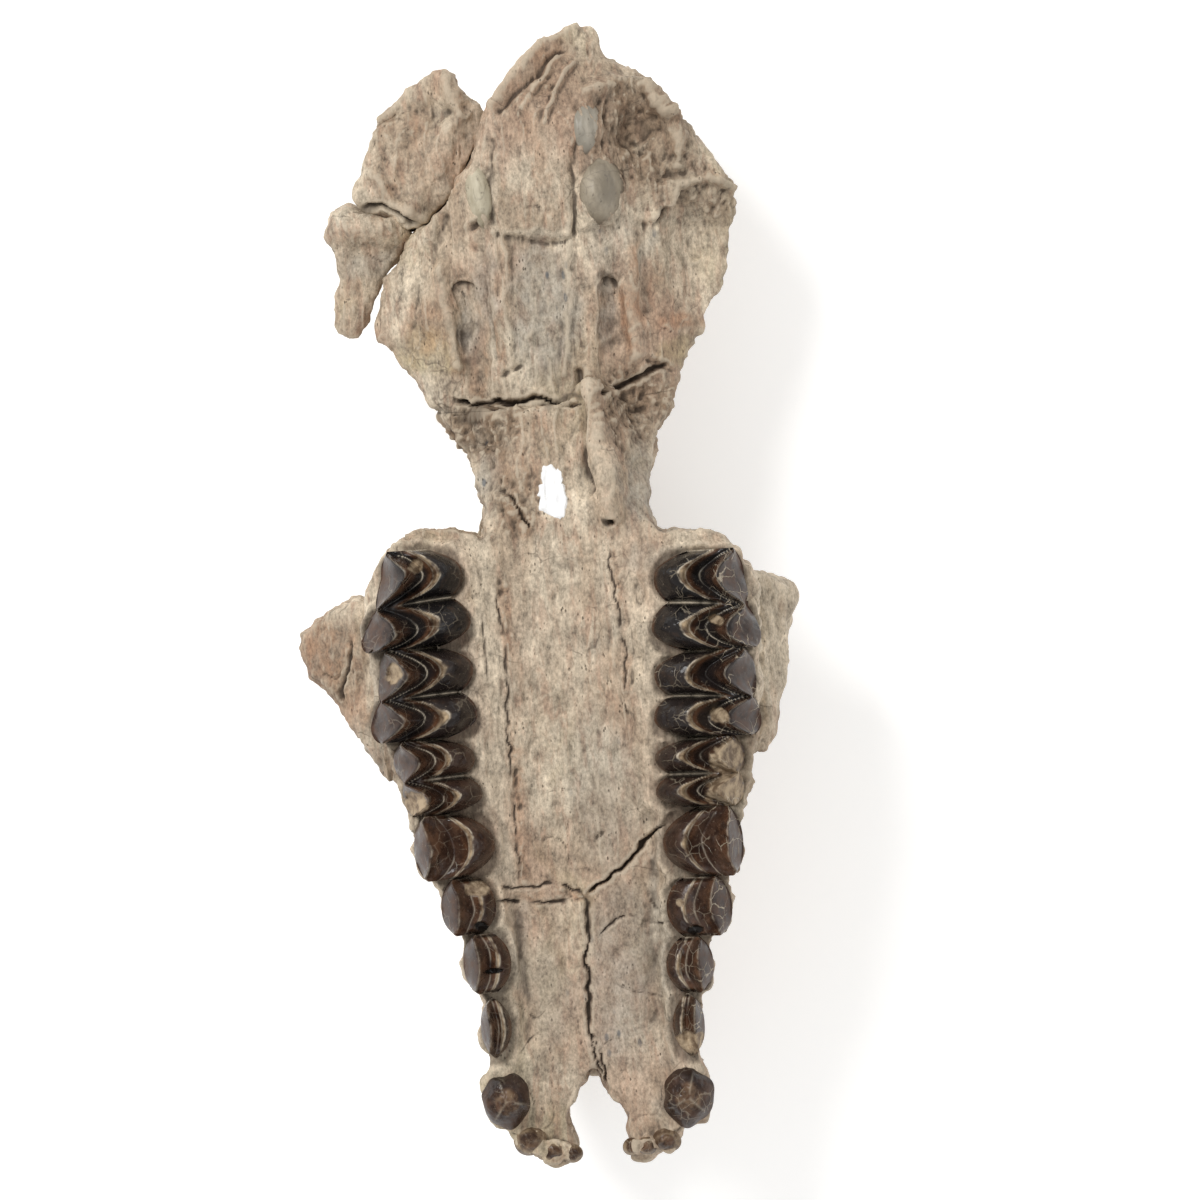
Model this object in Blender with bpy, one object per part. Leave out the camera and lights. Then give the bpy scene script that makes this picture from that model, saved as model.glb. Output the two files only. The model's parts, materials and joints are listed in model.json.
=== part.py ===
"""Fossil skull of an oreodont without its lower jaw, palate up, as solid bones with their teeth.

Metres, +Z up. The skull lies on its roof, so the palate faces up. +Y points to the back of the
skull, -Y to the snout and +X to the animal's right side. The origin is on the floor under the
middle of the skull. Sizes are written in millimetres along these axes, from a point under the
palate's midline, and MM and MIDDLE turn them into the part's own frame when a mesh is made.
"""
import math

import bmesh
import bpy
import numpy as np

# Driving dimensions, in millimetres
MM = 0.001
MIDDLE = (-3.3, 0.5)            # middle of the skull's outline, which becomes the origin
GAP = 0.3                       # free space between neighbouring bones
ROOF_SPLIT = 12.0               # height of the seam between the face and its roof
BRAIN_SPLIT = 24.0              # height of the seam between the braincase's roof and its base
ORBIT_FLOOR = 36.0              # height of the eye socket's floor, above the roof of the skull
ORBIT_FRONT = -27.0             # front wall of the eye sockets
ORBIT_WALL = (12.0, 18.0)       # where the wall between the eye sockets starts and ends
NOSE_BACK = -88.0               # where the rim of the nose opening leaves the nasal bones
NOSE_SLOPE = 1.55               # rise of that rim for each millimetre towards the snout's tip
WAIST_FRONT = 12.0              # seam between the palate and the narrow waist behind it
WAIST_BACK = 37.0               # crack between the waist and the braincase
ZYGOMA_UNDER = 30.0             # underside of the broken zygomatic roots
BASE_HALF_WIDTH = 20.0          # the skull base's own half width, beside the squamosals
TOOTH_ROOT = 5.0                # depth of a tooth's root in the bone
SIDES = {"left": -1, "right": 1}

BONE = (0.50, 0.39, 0.28)
PALE_BONE = (0.57, 0.47, 0.36)

# Edges of the bones seen from above, as (place along the skull, place across it)
FACE_EDGE = {
    "left": [(-101, -18.5), (-97, -20.6), (-90, -19.4), (-84, -19.2), (-75, -19.6), (-65, -21.5),
             (-55, -25.0), (-48, -29.0), (-36, -32.0), (-20, -35.5), (0, -37.0), (6, -36.4),
             (10, -33.9), (13.5, -30.2), (15, -26.8)],
    "right": [(-101, 18.5), (-96, 21.4), (-90, 20.2), (-84, 20.0), (-75, 20.4), (-65, 24.0),
              (-55, 27.4), (-48, 30.2), (-36, 33.0), (-20, 36.0), (0, 37.2), (5, 35.4),
              (9, 32.6), (12, 28.0)]}
FACE_BACK = {
    "left": [(-37, 4.5), (-34, 10.0), (-30.3, 13.4), (-26.8, 15.0), (-20, 14.6), (-16, 13.2),
             (-13, 11.9), (0, 11.9)],
    "right": [(0, 11.9), (19, 11.9), (29, 11.2), (32.6, 9.1), (35.4, 5.2), (37.2, 2.5)]}
CRANIUM_LEFT = [(11, -14.0), (18, -13.0), (26, -15.2), (30, -16.2), (38, -21.6), (46, -25.5),
                (51.6, -31.7), (55.4, -32.3), (63.9, -28.9), (66.5, -26.8), (72, -22.7), (77, -16.6),
                (84, -11.4), (91, -8.6), (94, -7.7), (101.6, -2.1), (105.3, 2.4), (108.6, 7.5)]
CRANIUM_RIGHT = [(11, 19.8), (16, 17.2), (24, 18.6), (31, 20.6), (38, 24.3), (46, 26.6),
                 (53, 31.8), (60, 36.0), (76, 38.1), (83, 34.2), (92, 27.6), (96, 26.0),
                 (100, 19.3), (104, 14.8), (108.6, 13.5)]
PLATE_LEFT = [(72.6, -23.9), (75.3, -28.6), (77.2, -34.0), (80.4, -33.8), (87.8, -30.2),
              (94.3, -28.1), (98.2, -21.5), (102.2, -16.6)]
PLATE_RIGHT = [(72.6, -23.1), (75.4, -18.6), (79, -15.4), (83.5, -12.6), (90, -9.4),
               (94.5, -9.2), (96.4, -12.1), (99, -13.1), (102.2, -15.2)]
ROOT_LEFT = [(53, -37.2), (54.3, -39.3), (58.1, -38.7), (63.7, -37.7), (67.8, -38.5),
             (71.8, -40.3), (75.1, -39.3), (77.2, -36.2)]
ROOT_RIGHT = [(53, -35.6), (56, -33.1), (59.4, -31.6), (64, -29.7), (67.5, -26.9), (70.6, -24.5),
              (72.3, -24.2), (75.0, -29.4), (77.2, -35.0)]
JUGAL_LEFT = [(-31.5, -34.8), (-23.9, -39.4), (-16, -44.6), (-10, -49.2), (-4.1, -51.3),
              (-0.6, -46.6), (2.7, -39.5)]
JUGAL_RIGHT = [(-30.5, 36.2), (-27.4, 38.7), (-21.8, 40.2), (-14.2, 41.3), (-6.7, 43.1),
               (-3, 44.7), (0, 44.7), (1.6, 40.2), (2.6, 38.2)]
PREMAXILLA_OUTER = {
    "left": [(-107, -9.0), (-104, -14.0), (-101, -16.6), (-98, -18.0), (-89, -18.5)],
    "right": [(-107, 9.0), (-104, 15.0), (-101, 17.0), (-98, 18.5), (-89, 19.0)]}
PREMAXILLA_INNER = {
    "left": [(-107, -3.2), (-102, -3.4), (-98, -4.4), (-94.2, -4.0), (-92.2, -1.2), (-89, -0.4)],
    "right": [(-107, 5.2), (-102, 4.8), (-98, 5.4), (-94.6, 4.2), (-93, 0.8), (-89, 0.4)]}
CANINE_FRONT = {"left": -99.4, "right": -101.3}
PALATE_FRONT = -89.0
CANINE_INSIDE = {"left": 10.6, "right": 11.4}
WAIST_SEAM = [(-22, 37.0), (-4, 36.2), (2.2, 36.6), (4.4, 38.6), (6.6, 41.0), (8.6, 41.6),
              (10.6, 41.0), (12.8, 38.8), (15, 37.4), (25, 38.4)]

# Teeth from back to front: name, length along the row, inner and outer reach of each lobe
ROW_BACK = {"left": 11.2, "right": 7.6}
TEETH = {
    "left": [("M3", 18.4, [(18.2, 33.4), (17.1, 37.9)]), ("M2", 17.3, [(17.3, 34.9), (17.1, 37.2)]),
             ("M1", 14.2, [(18.2, 33.4), (17.1, 31.8)]), ("P4", 12.3, [(15.5, 30.7)]),
             ("P3", 10.7, [(16.1, 26.4)]), ("P2", 11.3, [(14.0, 23.0)]), ("gap", 0.8, []),
             ("P1", 11.6, [(14.8, 20.6)]), ("gap", 3.2, []), ("C1", 9.7, [(12.6, 21.4)])],
    "right": [("M3", 18.7, [(17.7, 34.6), (16.6, 37.0)]), ("M2", 16.4, [(16.5, 35.5), (15.9, 36.0)]),
              ("M1", 13.1, [(15.6, 32.4), (15.3, 31.9)]), ("P4", 13.1, [(16.0, 31.1)]),
              ("P3", 11.2, [(15.9, 28.2)]), ("P2", 10.6, [(15.1, 24.0)]), ("P1", 12.1, [(15.6, 21.6)]),
              ("gap", 2.5, []), ("C1", 10.8, [(13.4, 22.0)])]}
# Crown forms: inner crest, valley and outer crest as place across and bend; their three heights;
# notches at the ends and between lobes; cells for one lobe
CROWNS = {
    "M": ((0.31, 0.34), (0.49, 0.40), (0.68, 0.27), (6.8, 3.4, 10.3), (6.4, 2.8), (6, 8)),
    "P": ((0.28, 0.26), (0.47, 0.24), (0.74, 0.14), (5.6, 3.6, 8.2), (4.6, 2.0), (7, 7)),
    "C": ((0.30, 0.10), (0.45, 0.10), (0.62, 0.10), (3.8, 3.4, 4.6), (2.2, 2.0), (6, 5)),
    "I": ((0.30, 0.10), (0.50, 0.10), (0.70, 0.10), (2.2, 2.0, 2.4), (0.8, 0.8), (3, 3))}
CROWN_EDGE = 1.4                # how far the foot of a crown stands above the bone
OUTER_NOTCH = (1.2, 0.9)        # outer notches at the ends of a crown and between its lobes
INCISORS = {"left": [(12.9, -102.2, 4.6), (8.6, -104.4, 4.0), (5.2, -104.6, 3.4)],
            "right": [(12.9, -103.9, 4.2), (9.3, -104.2, 3.2), (6.7, -104.2, 3.0)]}

# Relief of the upper faces: ridges as start, end, half width and height; mounds as middle, radii,
# height and turn; domes the same. A negative height is a groove or a hollow.
PALATE_RIDGES = [((13.5, -42), (12.5, -80), 2.2, -1.2), ((-12.5, -52), (-11.5, -80), 2.2, -1.0),
                 ((8.4, 42), (10.4, 17), 3.0, 3.4), ((4.6, 40), (6.4, 20), 1.5, -1.6)]
PALATE_MOUNDS = [((-13.5, 33.5), (4.5, 4.5), -5.0, 0), ((16.5, 33), (4.0, 8), -3.0, 0),
                 ((-12.5, 22), (2.5, 7), -2.6, 0)]
BASE_RIDGES = [((-14.0, 58), (-12.6, 44), 2.4, -1.6), ((13.4, 58), (13.0, 44), 2.2, -1.4),
               ((-9.4, 66), (-9.2, 42), 1.8, 0.9), ((11.4, 63), (8.6, 42), 1.6, 0.8),
               ((-18.3, 65), (-17.2, 42), 2.2, 1.7), ((17.7, 64), (17.7, 43), 2.2, 2.0),
               ((22, 77.4), (35, 78.4), 1.9, 2.8), ((24, 52), (33, 53), 1.8, 1.2),
               ((30, 82), (23.5, 96), 2.2, 2.2)]
BASE_MOUNDS = [((-14.6, 57.0), (2.0, 4.6), -2.4, -0.2), ((13.6, 57.4), (1.9, 4.2), -2.2, -0.2),
               ((29.5, 65), (6.5, 9.0), -2.8, 0), ((-25, 56), (6.0, 8.0), 2.6, 0),
               ((20.5, 87), (6.0, 6.0), -3.0, 0), ((25, 86), (2.4, 3.0), 1.2, 0)]
BULLAE = [((12.7, 76.4), (4.4, 6.6), 3.4, -0.12), ((-10.4, 77.0), (2.6, 6.0), 2.6, 0.1),
          ((10.9, 88.8), (2.8, 5.0), 1.8, -0.1)]
VAULT_HALF_WIDTH = 17.5         # half width of the vault between the tooth rows
VAULT_DEPTH = 3.2               # how far the vault's middle lies below the tooth sockets
PLATEAU_RISE = 1.5              # how far the middle plateau of the base stands up
SOFT_EDGE = 0.4                 # share of an edge's softening that its upper face takes


def smooth_step(value, start, end):
    """Goes from 0 at start to 1 at end without a corner."""
    share = np.clip((value - start) / (end - start), 0, 1)
    return share * share * (3 - 2 * share)


def outline(points):
    """Straight runs between the points of a broken edge."""
    places, values = zip(*points)
    return lambda at: np.interp(at, places, values)


def profile(points):
    """Smooth curve through a few points."""
    places, values = (np.array(column, dtype=float) for column in zip(*points))
    slopes = np.gradient(values, places)

    def curve(at):
        at = np.clip(at, places[0], places[-1])
        cell = np.clip(np.searchsorted(places, at) - 1, 0, len(places) - 2)
        width = places[cell + 1] - places[cell]
        t = (at - places[cell]) / width
        near = (1 + 2 * t) * (1 - t) ** 2 * values[cell] + t * (1 - t) ** 2 * width * slopes[cell]
        far = t * t * (3 - 2 * t) * values[cell + 1] - t * t * (1 - t) * width * slopes[cell + 1]
        return near + far
    return curve


def swelling(x, y, centre, radii, height, turn=0.0):
    """Soft mound round a centre, or a hollow where the height is negative."""
    across = (x - centre[0]) * math.cos(turn) + (y - centre[1]) * math.sin(turn)
    onward = (y - centre[1]) * math.cos(turn) - (x - centre[0]) * math.sin(turn)
    return height * np.exp(-(across / radii[0]) ** 2 - (onward / radii[1]) ** 2)


def dome(x, y, centre, radii, height, turn=0.0):
    """Rounded knob with a clear foot."""
    across = (x - centre[0]) * math.cos(turn) + (y - centre[1]) * math.sin(turn)
    onward = (y - centre[1]) * math.cos(turn) - (x - centre[0]) * math.sin(turn)
    reach = (across / radii[0]) ** 2 + (onward / radii[1]) ** 2
    return height * np.sqrt(np.clip(1 - reach, 0, 1))


def ridge(x, y, start, end, width, height):
    """Rounded ridge between two points, or a groove where the height is negative."""
    run = np.array(end, dtype=float) - np.array(start, dtype=float)
    share = np.clip(((x - start[0]) * run[0] + (y - start[1]) * run[1]) / (run @ run), 0, 1)
    away = np.hypot(x - start[0] - share * run[0], y - start[1] - share * run[1])
    return height * np.exp(-(away / width) ** 2)


# The two faces of the whole skull: the upper one with palate and base, the lower one the roof
palate_height = profile([(-108, 40), (-95, 43.5), (-80, 46.5), (-60, 50), (-40, 53), (-20, 55),
                         (0, 55.5), (12, 54.5), (25, 52), (37, 49.5), (44, 48)])
base_height = profile([(36, 45.5), (50, 45.5), (66, 46), (80, 47), (92, 46.5), (100, 43),
                       (108.6, 38)])
roof_height = profile([(-100, 8), (-92, 6.5), (-75, 4.2), (-55, 1.8), (-38, 0.6), (-20, 0.9),
                       (0, 1.2), (12, 1.2), (24, 1.6), (37, 3.4)])
brain_roof = profile([(36, 5.2), (50, 6.5), (70, 7.0), (90, 6.0), (100, 5.0), (109, 6.0)])
frontal_width = profile([(-40, 17.0), (-30, 22.5), (-20, 28.5), (-8, 31.5), (2, 30.0), (8, 24.0),
                         (14, 15.5), (24, 14.0), (37, 17.5)])
brain_left = profile([(36, 18.0), (50, 23.0), (66, 24.5), (78, 22.0), (86, 13.0), (92, 8.0),
                      (97, 5.5), (102, 1.5), (108.6, -7.0)])
brain_right = profile([(36, 20.5), (50, 24.5), (66, 25.0), (80, 25.0), (92, 23.0), (97, 20.5),
                       (102, 16.0), (108.6, 13.0)])
cranium_left = outline(CRANIUM_LEFT)
cranium_right = outline(CRANIUM_RIGHT)
face_edge = {side: outline(points) for side, points in FACE_EDGE.items()}
face_back = {side: outline(points) for side, points in FACE_BACK.items()}
waist_seam = profile(WAIST_SEAM)


def relief(x, y, ridges, mounds):
    """Sum of the ridges and mounds of a face at each place."""
    lift = sum(ridge(x, y, *line) for line in ridges)
    return lift + sum(swelling(x, y, *mound) for mound in mounds)


def palate(x, y):
    """Upper face of the snout and the waist behind it, vaulted between the tooth rows."""
    vault = VAULT_DEPTH * (1 - smooth_step(y, 6, 22)) * np.clip(np.abs(x) / VAULT_HALF_WIDTH, 0, 1) ** 2
    flank = -0.5 * np.clip(np.abs(x) - 33, 0, 20)
    shoulder = -0.9 * np.clip(np.abs(x) - 13, 0, 8) * smooth_step(y, 13, 22)
    return palate_height(y) + vault + flank + shoulder + relief(x, y, PALATE_RIDGES, PALATE_MOUNDS)


def skull_base(x, y):
    """Upper face of the cranium: base plateau, bullae, foramina and glenoid plates."""
    side = np.abs(x - 0.8)
    level = base_height(y) - 3.6 * smooth_step(side, 9, 20) - 4.5 * smooth_step(side, 19, 31)
    plateau = PLATEAU_RISE * smooth_step(y, 67.8, 70.6) * (1 - smooth_step(np.abs(x - 1.4), 5, 10))
    bullae = sum(dome(x, y, *bulla) for bulla in BULLAE)
    return level + plateau + bullae + relief(x, y, BASE_RIDGES, BASE_MOUNDS)


def face_roof(x, y):
    """Lower face of the snout and forehead, from the tooth rows' outer walls to the roof."""
    width = np.where(x < 0, -face_edge["left"](y), face_edge["right"](y))
    wall_top = palate_height(y) - 3.0
    share = np.clip(np.abs(x) / width, 0, 1)
    arch = (1 - share ** 2.7) ** (1 / 2.7)
    return wall_top - (wall_top - roof_height(y)) * arch


def forehead(x, y):
    """Lower face of the frontal: nearly flat, lowest along the two rims, then curving up."""
    width = frontal_width(y)
    share = np.clip(np.abs(x) / width, 0, 1)
    flat = roof_height(y) * (1 - 0.9 * smooth_step(share, 0.15, 0.6))
    return np.maximum(flat, 0) + 4.2 * share ** 6


def brain_dome(x, y):
    """Lower face of the braincase, with its thin midline crest and the flaring neck crest."""
    width = np.where(x < 0, brain_left(y), brain_right(y))
    share = np.clip(x * np.where(x < 0, -1, 1) / np.maximum(width, 1), 0, 1)
    vault = BRAIN_SPLIT - (BRAIN_SPLIT - brain_roof(y)) * np.sqrt(1 - share ** 2.2)
    crest_foot = brain_roof(y) * smooth_step(y, 30, 60)
    crest = crest_foot * np.exp(-((x - 0.035 * (y - 40)) / 2.1) ** 2)
    neck_line = 97 - 0.012 * (x - 4) ** 2
    neck = 0.86 * (vault - 1.0) * np.exp(-((y - neck_line) / 2.6) ** 2) * (1 - smooth_step(share, 0.6, 1))
    slant = 1.5 * np.clip(y - 98.5, 0, 20)
    return np.maximum(vault - np.maximum(crest, neck), 0.0) + slant


def closed_grid(name, x, y, top, bottom):
    """Closed body from two sheets of points that share their places across and along."""
    rows, columns = x.shape
    middle = np.array([MIDDLE[0], MIDDLE[1], 0.0])
    upper = (np.stack([x, y, top], axis=-1).reshape(-1, 3) - middle) * MM
    lower = (np.stack([x, y, bottom], axis=-1).reshape(-1, 3) - middle) * MM
    count = rows * columns
    faces = []
    for row in range(rows - 1):
        for column in range(columns - 1):
            corner = row * columns + column
            cell = (corner, corner + 1, corner + columns + 1, corner + columns)
            faces.append(cell)
            faces.append(tuple(point + count for point in reversed(cell)))
    rim = list(range(columns)) + [row * columns + columns - 1 for row in range(1, rows)]
    rim += [count - 1 - column for column in range(1, columns)]
    rim += [row * columns for row in range(rows - 2, 0, -1)]
    for place, point in enumerate(rim):
        following = rim[(place + 1) % len(rim)]
        faces.append((following, point, point + count, following + count))
    mesh = bpy.data.meshes.new(name)
    mesh.from_pydata(np.vstack([upper, lower]).tolist(), [], faces)
    part = bpy.data.objects.new(name, mesh)
    bpy.context.scene.collection.objects.link(part)
    tidy_normals(part)
    return part


def tidy_normals(part):
    """Turns every face of a closed body outward."""
    body = bmesh.new()
    body.from_mesh(part.data)
    bmesh.ops.recalc_face_normals(body, faces=body.faces)
    body.to_mesh(part.data)
    body.free()


def block(name, span, left, right, top, bottom, cells, front=None, back=None, ease=14.0, soft=(0, 0)):
    """Bone between two edges, an upper and a lower surface, and two seams that may wander."""
    nominal = np.repeat(np.linspace(span[0], span[1], cells[0] + 1)[:, None], cells[1] + 1, axis=1)
    even = np.linspace(0, 1, cells[1] + 1)
    share = (0.5 * even + 0.25 * (1 - np.cos(np.pi * even)))[None, :]
    near_front = np.clip((span[0] + ease - nominal) / ease, 0, 1)
    near_back = np.clip((nominal - span[1] + ease) / ease, 0, 1)
    y = nominal
    for settle in range(12):
        x = left(y) + (right(y) - left(y)) * share
        target = nominal
        if front is not None:
            target = target + (front(x) - span[0]) * near_front
        if back is not None:
            target = target + (back(x) - span[1]) * near_back
        y = (y + target) / 2
    bevel = soft[0] * (1 - share) ** 8 + soft[1] * share ** 8
    return closed_grid(name, x, y, top(x, y) - SOFT_EDGE * bevel, bottom(x, y) + bevel)


def apply_modifiers(part):
    """Keeps the evaluated mesh and drops the modifiers."""
    evaluated = part.evaluated_get(bpy.context.evaluated_depsgraph_get())
    mesh = bpy.data.meshes.new_from_object(evaluated)
    part.modifiers.clear()
    part.data = mesh


def thin_out(part, share):
    """Fewer triangles where the surface is calm."""
    reduce = part.modifiers.new("reduce", "DECIMATE")
    reduce.ratio = share
    apply_modifiers(part)


def keep_largest(part):
    """Drops every closed surface of the mesh but the one with the most faces."""
    body = bmesh.new()
    body.from_mesh(part.data)
    waiting = set(body.faces)
    shells = []
    while waiting:
        shell, edge_of_shell = set(), [waiting.pop()]
        while edge_of_shell:
            face = edge_of_shell.pop()
            shell.add(face)
            for edge in face.edges:
                for other in edge.link_faces:
                    if other in waiting:
                        waiting.discard(other)
                        edge_of_shell.append(other)
        shells.append(shell)
    largest = max(shells, key=len)
    drop = [face for shell in shells if shell is not largest for face in shell]
    bmesh.ops.delete(body, geom=drop, context="FACES")
    loose = [vertex for vertex in body.verts if not vertex.link_faces]
    bmesh.ops.delete(body, geom=loose, context="VERTS")
    bmesh.ops.triangulate(body, faces=body.faces)
    body.to_mesh(part.data)
    body.free()


def join_with(part, pieces):
    """Fuses closed pieces with a bone by one Boolean union, which is applied."""
    group = bpy.data.collections.new(part.name + "_pieces")
    for piece in pieces:
        for holder in piece.users_collection:
            holder.objects.unlink(piece)
        group.objects.link(piece)
    bpy.context.scene.collection.children.link(group)
    union = part.modifiers.new("union", "BOOLEAN")
    union.operation = "UNION"
    union.operand_type = "COLLECTION"
    union.collection = group
    union.solver = "EXACT"
    apply_modifiers(part)
    for piece in pieces:
        bpy.data.objects.remove(piece)
    bpy.data.collections.remove(group)
    keep_largest(part)


def subtract(part, cutter):
    """Takes a cutter's shape out of a bone and removes the cutter."""
    cutter.hide_render = True
    cutter.display_type = "WIRE"
    cut = part.modifiers.new("cut", "BOOLEAN")
    cut.operation = "DIFFERENCE"
    cut.object = cutter
    cut.solver = "EXACT"
    apply_modifiers(part)
    bpy.data.objects.remove(cutter)
    keep_largest(part)


def carve(part, centre, radii):
    """Cuts an egg-shaped hollow into a bone."""
    mesh = bpy.data.meshes.new("hollow")
    cutter = bpy.data.objects.new("hollow", mesh)
    bpy.context.scene.collection.objects.link(cutter)
    body = bmesh.new()
    bmesh.ops.create_uvsphere(body, u_segments=14, v_segments=9, radius=1.0)
    for vertex in body.verts:
        for axis, middle in enumerate((MIDDLE[0], MIDDLE[1], 0.0)):
            vertex.co[axis] = (vertex.co[axis] * radii[axis] + centre[axis] - middle) * MM
    body.to_mesh(mesh)
    body.free()
    subtract(part, cutter)


def trim(part, low, high):
    """Cuts a box off a bone, from its low corner to its high one."""
    mesh = bpy.data.meshes.new("box")
    cutter = bpy.data.objects.new("box", mesh)
    bpy.context.scene.collection.objects.link(cutter)
    body = bmesh.new()
    bmesh.ops.create_cube(body, size=1.0)
    for vertex in body.verts:
        for axis, middle in enumerate((MIDDLE[0], MIDDLE[1], 0.0)):
            place = low[axis] if vertex.co[axis] < 0 else high[axis]
            vertex.co[axis] = (place - middle) * MM
    body.to_mesh(mesh)
    body.free()
    subtract(part, cutter)


def crown_height(kind, bend, place, foot, rim):
    """Crescent crests: a lower inner one, a valley and a tall outer one across each lobe."""
    inner, valley, outer, levels, notches, cells = CROWNS[kind]
    outer_crest = np.minimum(outer[0] + outer[1] * bend ** 1.4, rim - 0.03)
    floor = np.minimum(valley[0] + valley[1] * bend ** 1.6, outer_crest - 0.03)
    inner_crest = np.minimum(inner[0] + inner[1] * bend ** 1.7, floor - 0.03)
    low, high = levels[0] * (1 - 0.30 * bend ** 2), levels[2] * (1 - 0.24 * bend ** 2)
    deep = levels[1] * (1 + 0.35 * bend ** 2)
    stops = [(foot, inner_crest, CROWN_EDGE, low), (inner_crest, floor, low, deep),
             (floor, outer_crest, deep, high), (outer_crest, rim, high, CROWN_EDGE)]
    height = CROWN_EDGE + 0 * place
    for start, end, first, last in stops:
        share = np.clip((place - start) / (end - start), 0, 1)
        height = np.where(place > start, first + (last - first) * share, height)
    return height


def tooth(side, back, length, kind, lobes):
    """One crown with its root, as wide as its lobes reach, standing on the palate."""
    rows, columns = CROWNS[kind][5]
    notches = CROWNS[kind][4]
    count = len(lobes)
    along = np.linspace(0, 1, rows * count + 1)[:, None]
    across = np.linspace(0, 1, columns + 1)[None, :]
    centres = (np.arange(count) + 0.5) / count
    inner, outer = (np.interp(along, centres, [lobe[k] for lobe in lobes]) for k in (0, 1))
    cell = np.clip(np.floor(along * count), 0, count - 1)
    turn = 2 * (along * count - cell) - 1
    bend = np.abs(turn)
    at_end = ((cell == 0) & (turn < 0)) | ((cell == count - 1) & (turn > 0))
    width = outer - inner
    foot = np.minimum(np.where(at_end, notches[0], notches[1]) / width, 0.36) * bend ** 2.3
    rim = 1 - np.where(at_end, *OUTER_NOTCH) * bend ** 2.6 / width
    place = foot + (rim - foot) * across
    x = SIDES[side] * (inner + width * place)
    y = np.repeat(back - 0.1 - (length - 0.2) * along, columns + 1, axis=1)
    neck = palate_height(y) + 3.0
    top = neck + crown_height(kind, bend, place, foot, rim)
    return closed_grid("tooth", x, y, top, neck - TOOTH_ROOT - 0 * x)


def tooth_row(side):
    """Cheek teeth and canine of one side, from the last molar forward."""
    back = ROW_BACK[side]
    crowns = []
    for name, length, lobes in TEETH[side]:
        if lobes:
            crowns.append(tooth(side, back, length, name[0], lobes))
        back -= length
    return crowns


def incisor_row(side):
    """Three worn incisor stubs of one side."""
    crowns = []
    for middle, place, size in INCISORS[side]:
        reach = (middle - size / 2, middle + size / 2)
        crowns.append(tooth(side, place + size / 2, size, "I", [reach]))
    return crowns


def paint(part, colour, roughness=0.75):
    """Gives a bone its own plain material."""
    material = bpy.data.materials.new(part.name + "_bone")
    material.use_nodes = True
    shader = next(node for node in material.node_tree.nodes if node.type == "BSDF_PRINCIPLED")
    shader.inputs["Base Color"].default_value = (*colour, 1.0)
    shader.inputs["Roughness"].default_value = roughness
    shader.inputs["Metallic"].default_value = 0.0
    part.data.materials.clear()
    part.data.materials.append(material)
    part.data.shade_smooth()
    part.data.set_sharp_from_angle(angle=math.radians(40))


def maxilla(side):
    """Half of the palate and the side of the snout, with its cheek teeth and canine."""
    sign = SIDES[side]
    middle = lambda y: sign * GAP / 2 + 0 * y
    edge = face_edge[side]
    start = CANINE_FRONT[side]
    back = lambda x: face_back[side](x) - GAP / 2

    def under(x, y):
        wall = np.maximum(face_roof(x, y), ROOF_SPLIT + GAP / 2)
        socket = smooth_step(y, ORBIT_FRONT - 3, ORBIT_FRONT + 5) * smooth_step(np.abs(x), *ORBIT_WALL)
        nose = NOSE_SLOPE * np.clip(NOSE_BACK - y, 0, 30)
        return np.maximum(wall, ROOF_SPLIT + GAP / 2 + (ORBIT_FLOOR - ROOF_SPLIT) * socket + nose)

    left, right = (edge, middle) if sign < 0 else (middle, edge)
    bone = block("maxilla_" + side, (start, 12), left, right, palate, under, (36, 14), None, back)
    carve(bone, (0, -92, 26), (9.5, 17, 12))
    carve(bone, (sign * 29.5, -52, 36), (5.0, 4.0, 3.0))
    thin_out(bone, 0.45)
    inside = sorted((-sign * 30, sign * CANINE_INSIDE[side]))
    trim(bone, (inside[0], start - 20, 0), (inside[1], PALATE_FRONT + GAP / 2, 80))
    join_with(bone, tooth_row(side))
    paint(bone, PALE_BONE)


def premaxilla(side):
    """Front prong of the snout on one side, with its incisor stubs."""
    sign = SIDES[side]
    inner = outline(PREMAXILLA_INNER[side])
    outer = outline(PREMAXILLA_OUTER[side])
    left, right = (outer, inner) if sign < 0 else (inner, outer)
    under_line = profile([(-107, 35), (-100, 31), (-95, 26), (-89, 21)])
    under = lambda x, y: under_line(y) + 2.0 * np.abs(np.abs(x) - 11) / 8
    span = (-107, PALATE_FRONT - GAP / 2)
    soft = (2.6, 1.4) if sign < 0 else (1.4, 2.6)
    bone = block("premaxilla_" + side, span, left, right, palate, under, (8, 6), soft=soft)
    outside = sorted((sign * (CANINE_INSIDE[side] - GAP), sign * 40))
    trim(bone, (outside[0], CANINE_FRONT[side] - GAP, 0), (outside[1], PALATE_FRONT + 20, 80))
    join_with(bone, incisor_row(side))
    paint(bone, BONE)


def nasals():
    """Roof of the snout, as one long slab with its free tip over the nose opening."""
    half_left = lambda y: -0.60 * -face_edge["left"](y) * smooth_step(y, -108, -86) - 0.4
    half_right = lambda y: 0.60 * face_edge["right"](y) * smooth_step(y, -108, -86) + 0.4
    top = lambda x, y: ROOF_SPLIT - GAP / 2 + 0 * x
    under = lambda x, y: np.minimum(face_roof(x, y), ROOF_SPLIT - 2.0)
    back = lambda x: np.full_like(x, -38 - GAP / 2)
    bone = block("nasals", (-92, -38), half_left, half_right, top, under, (16, 12), None, back, 8.0)
    thin_out(bone, 0.6)
    paint(bone, BONE)


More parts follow.
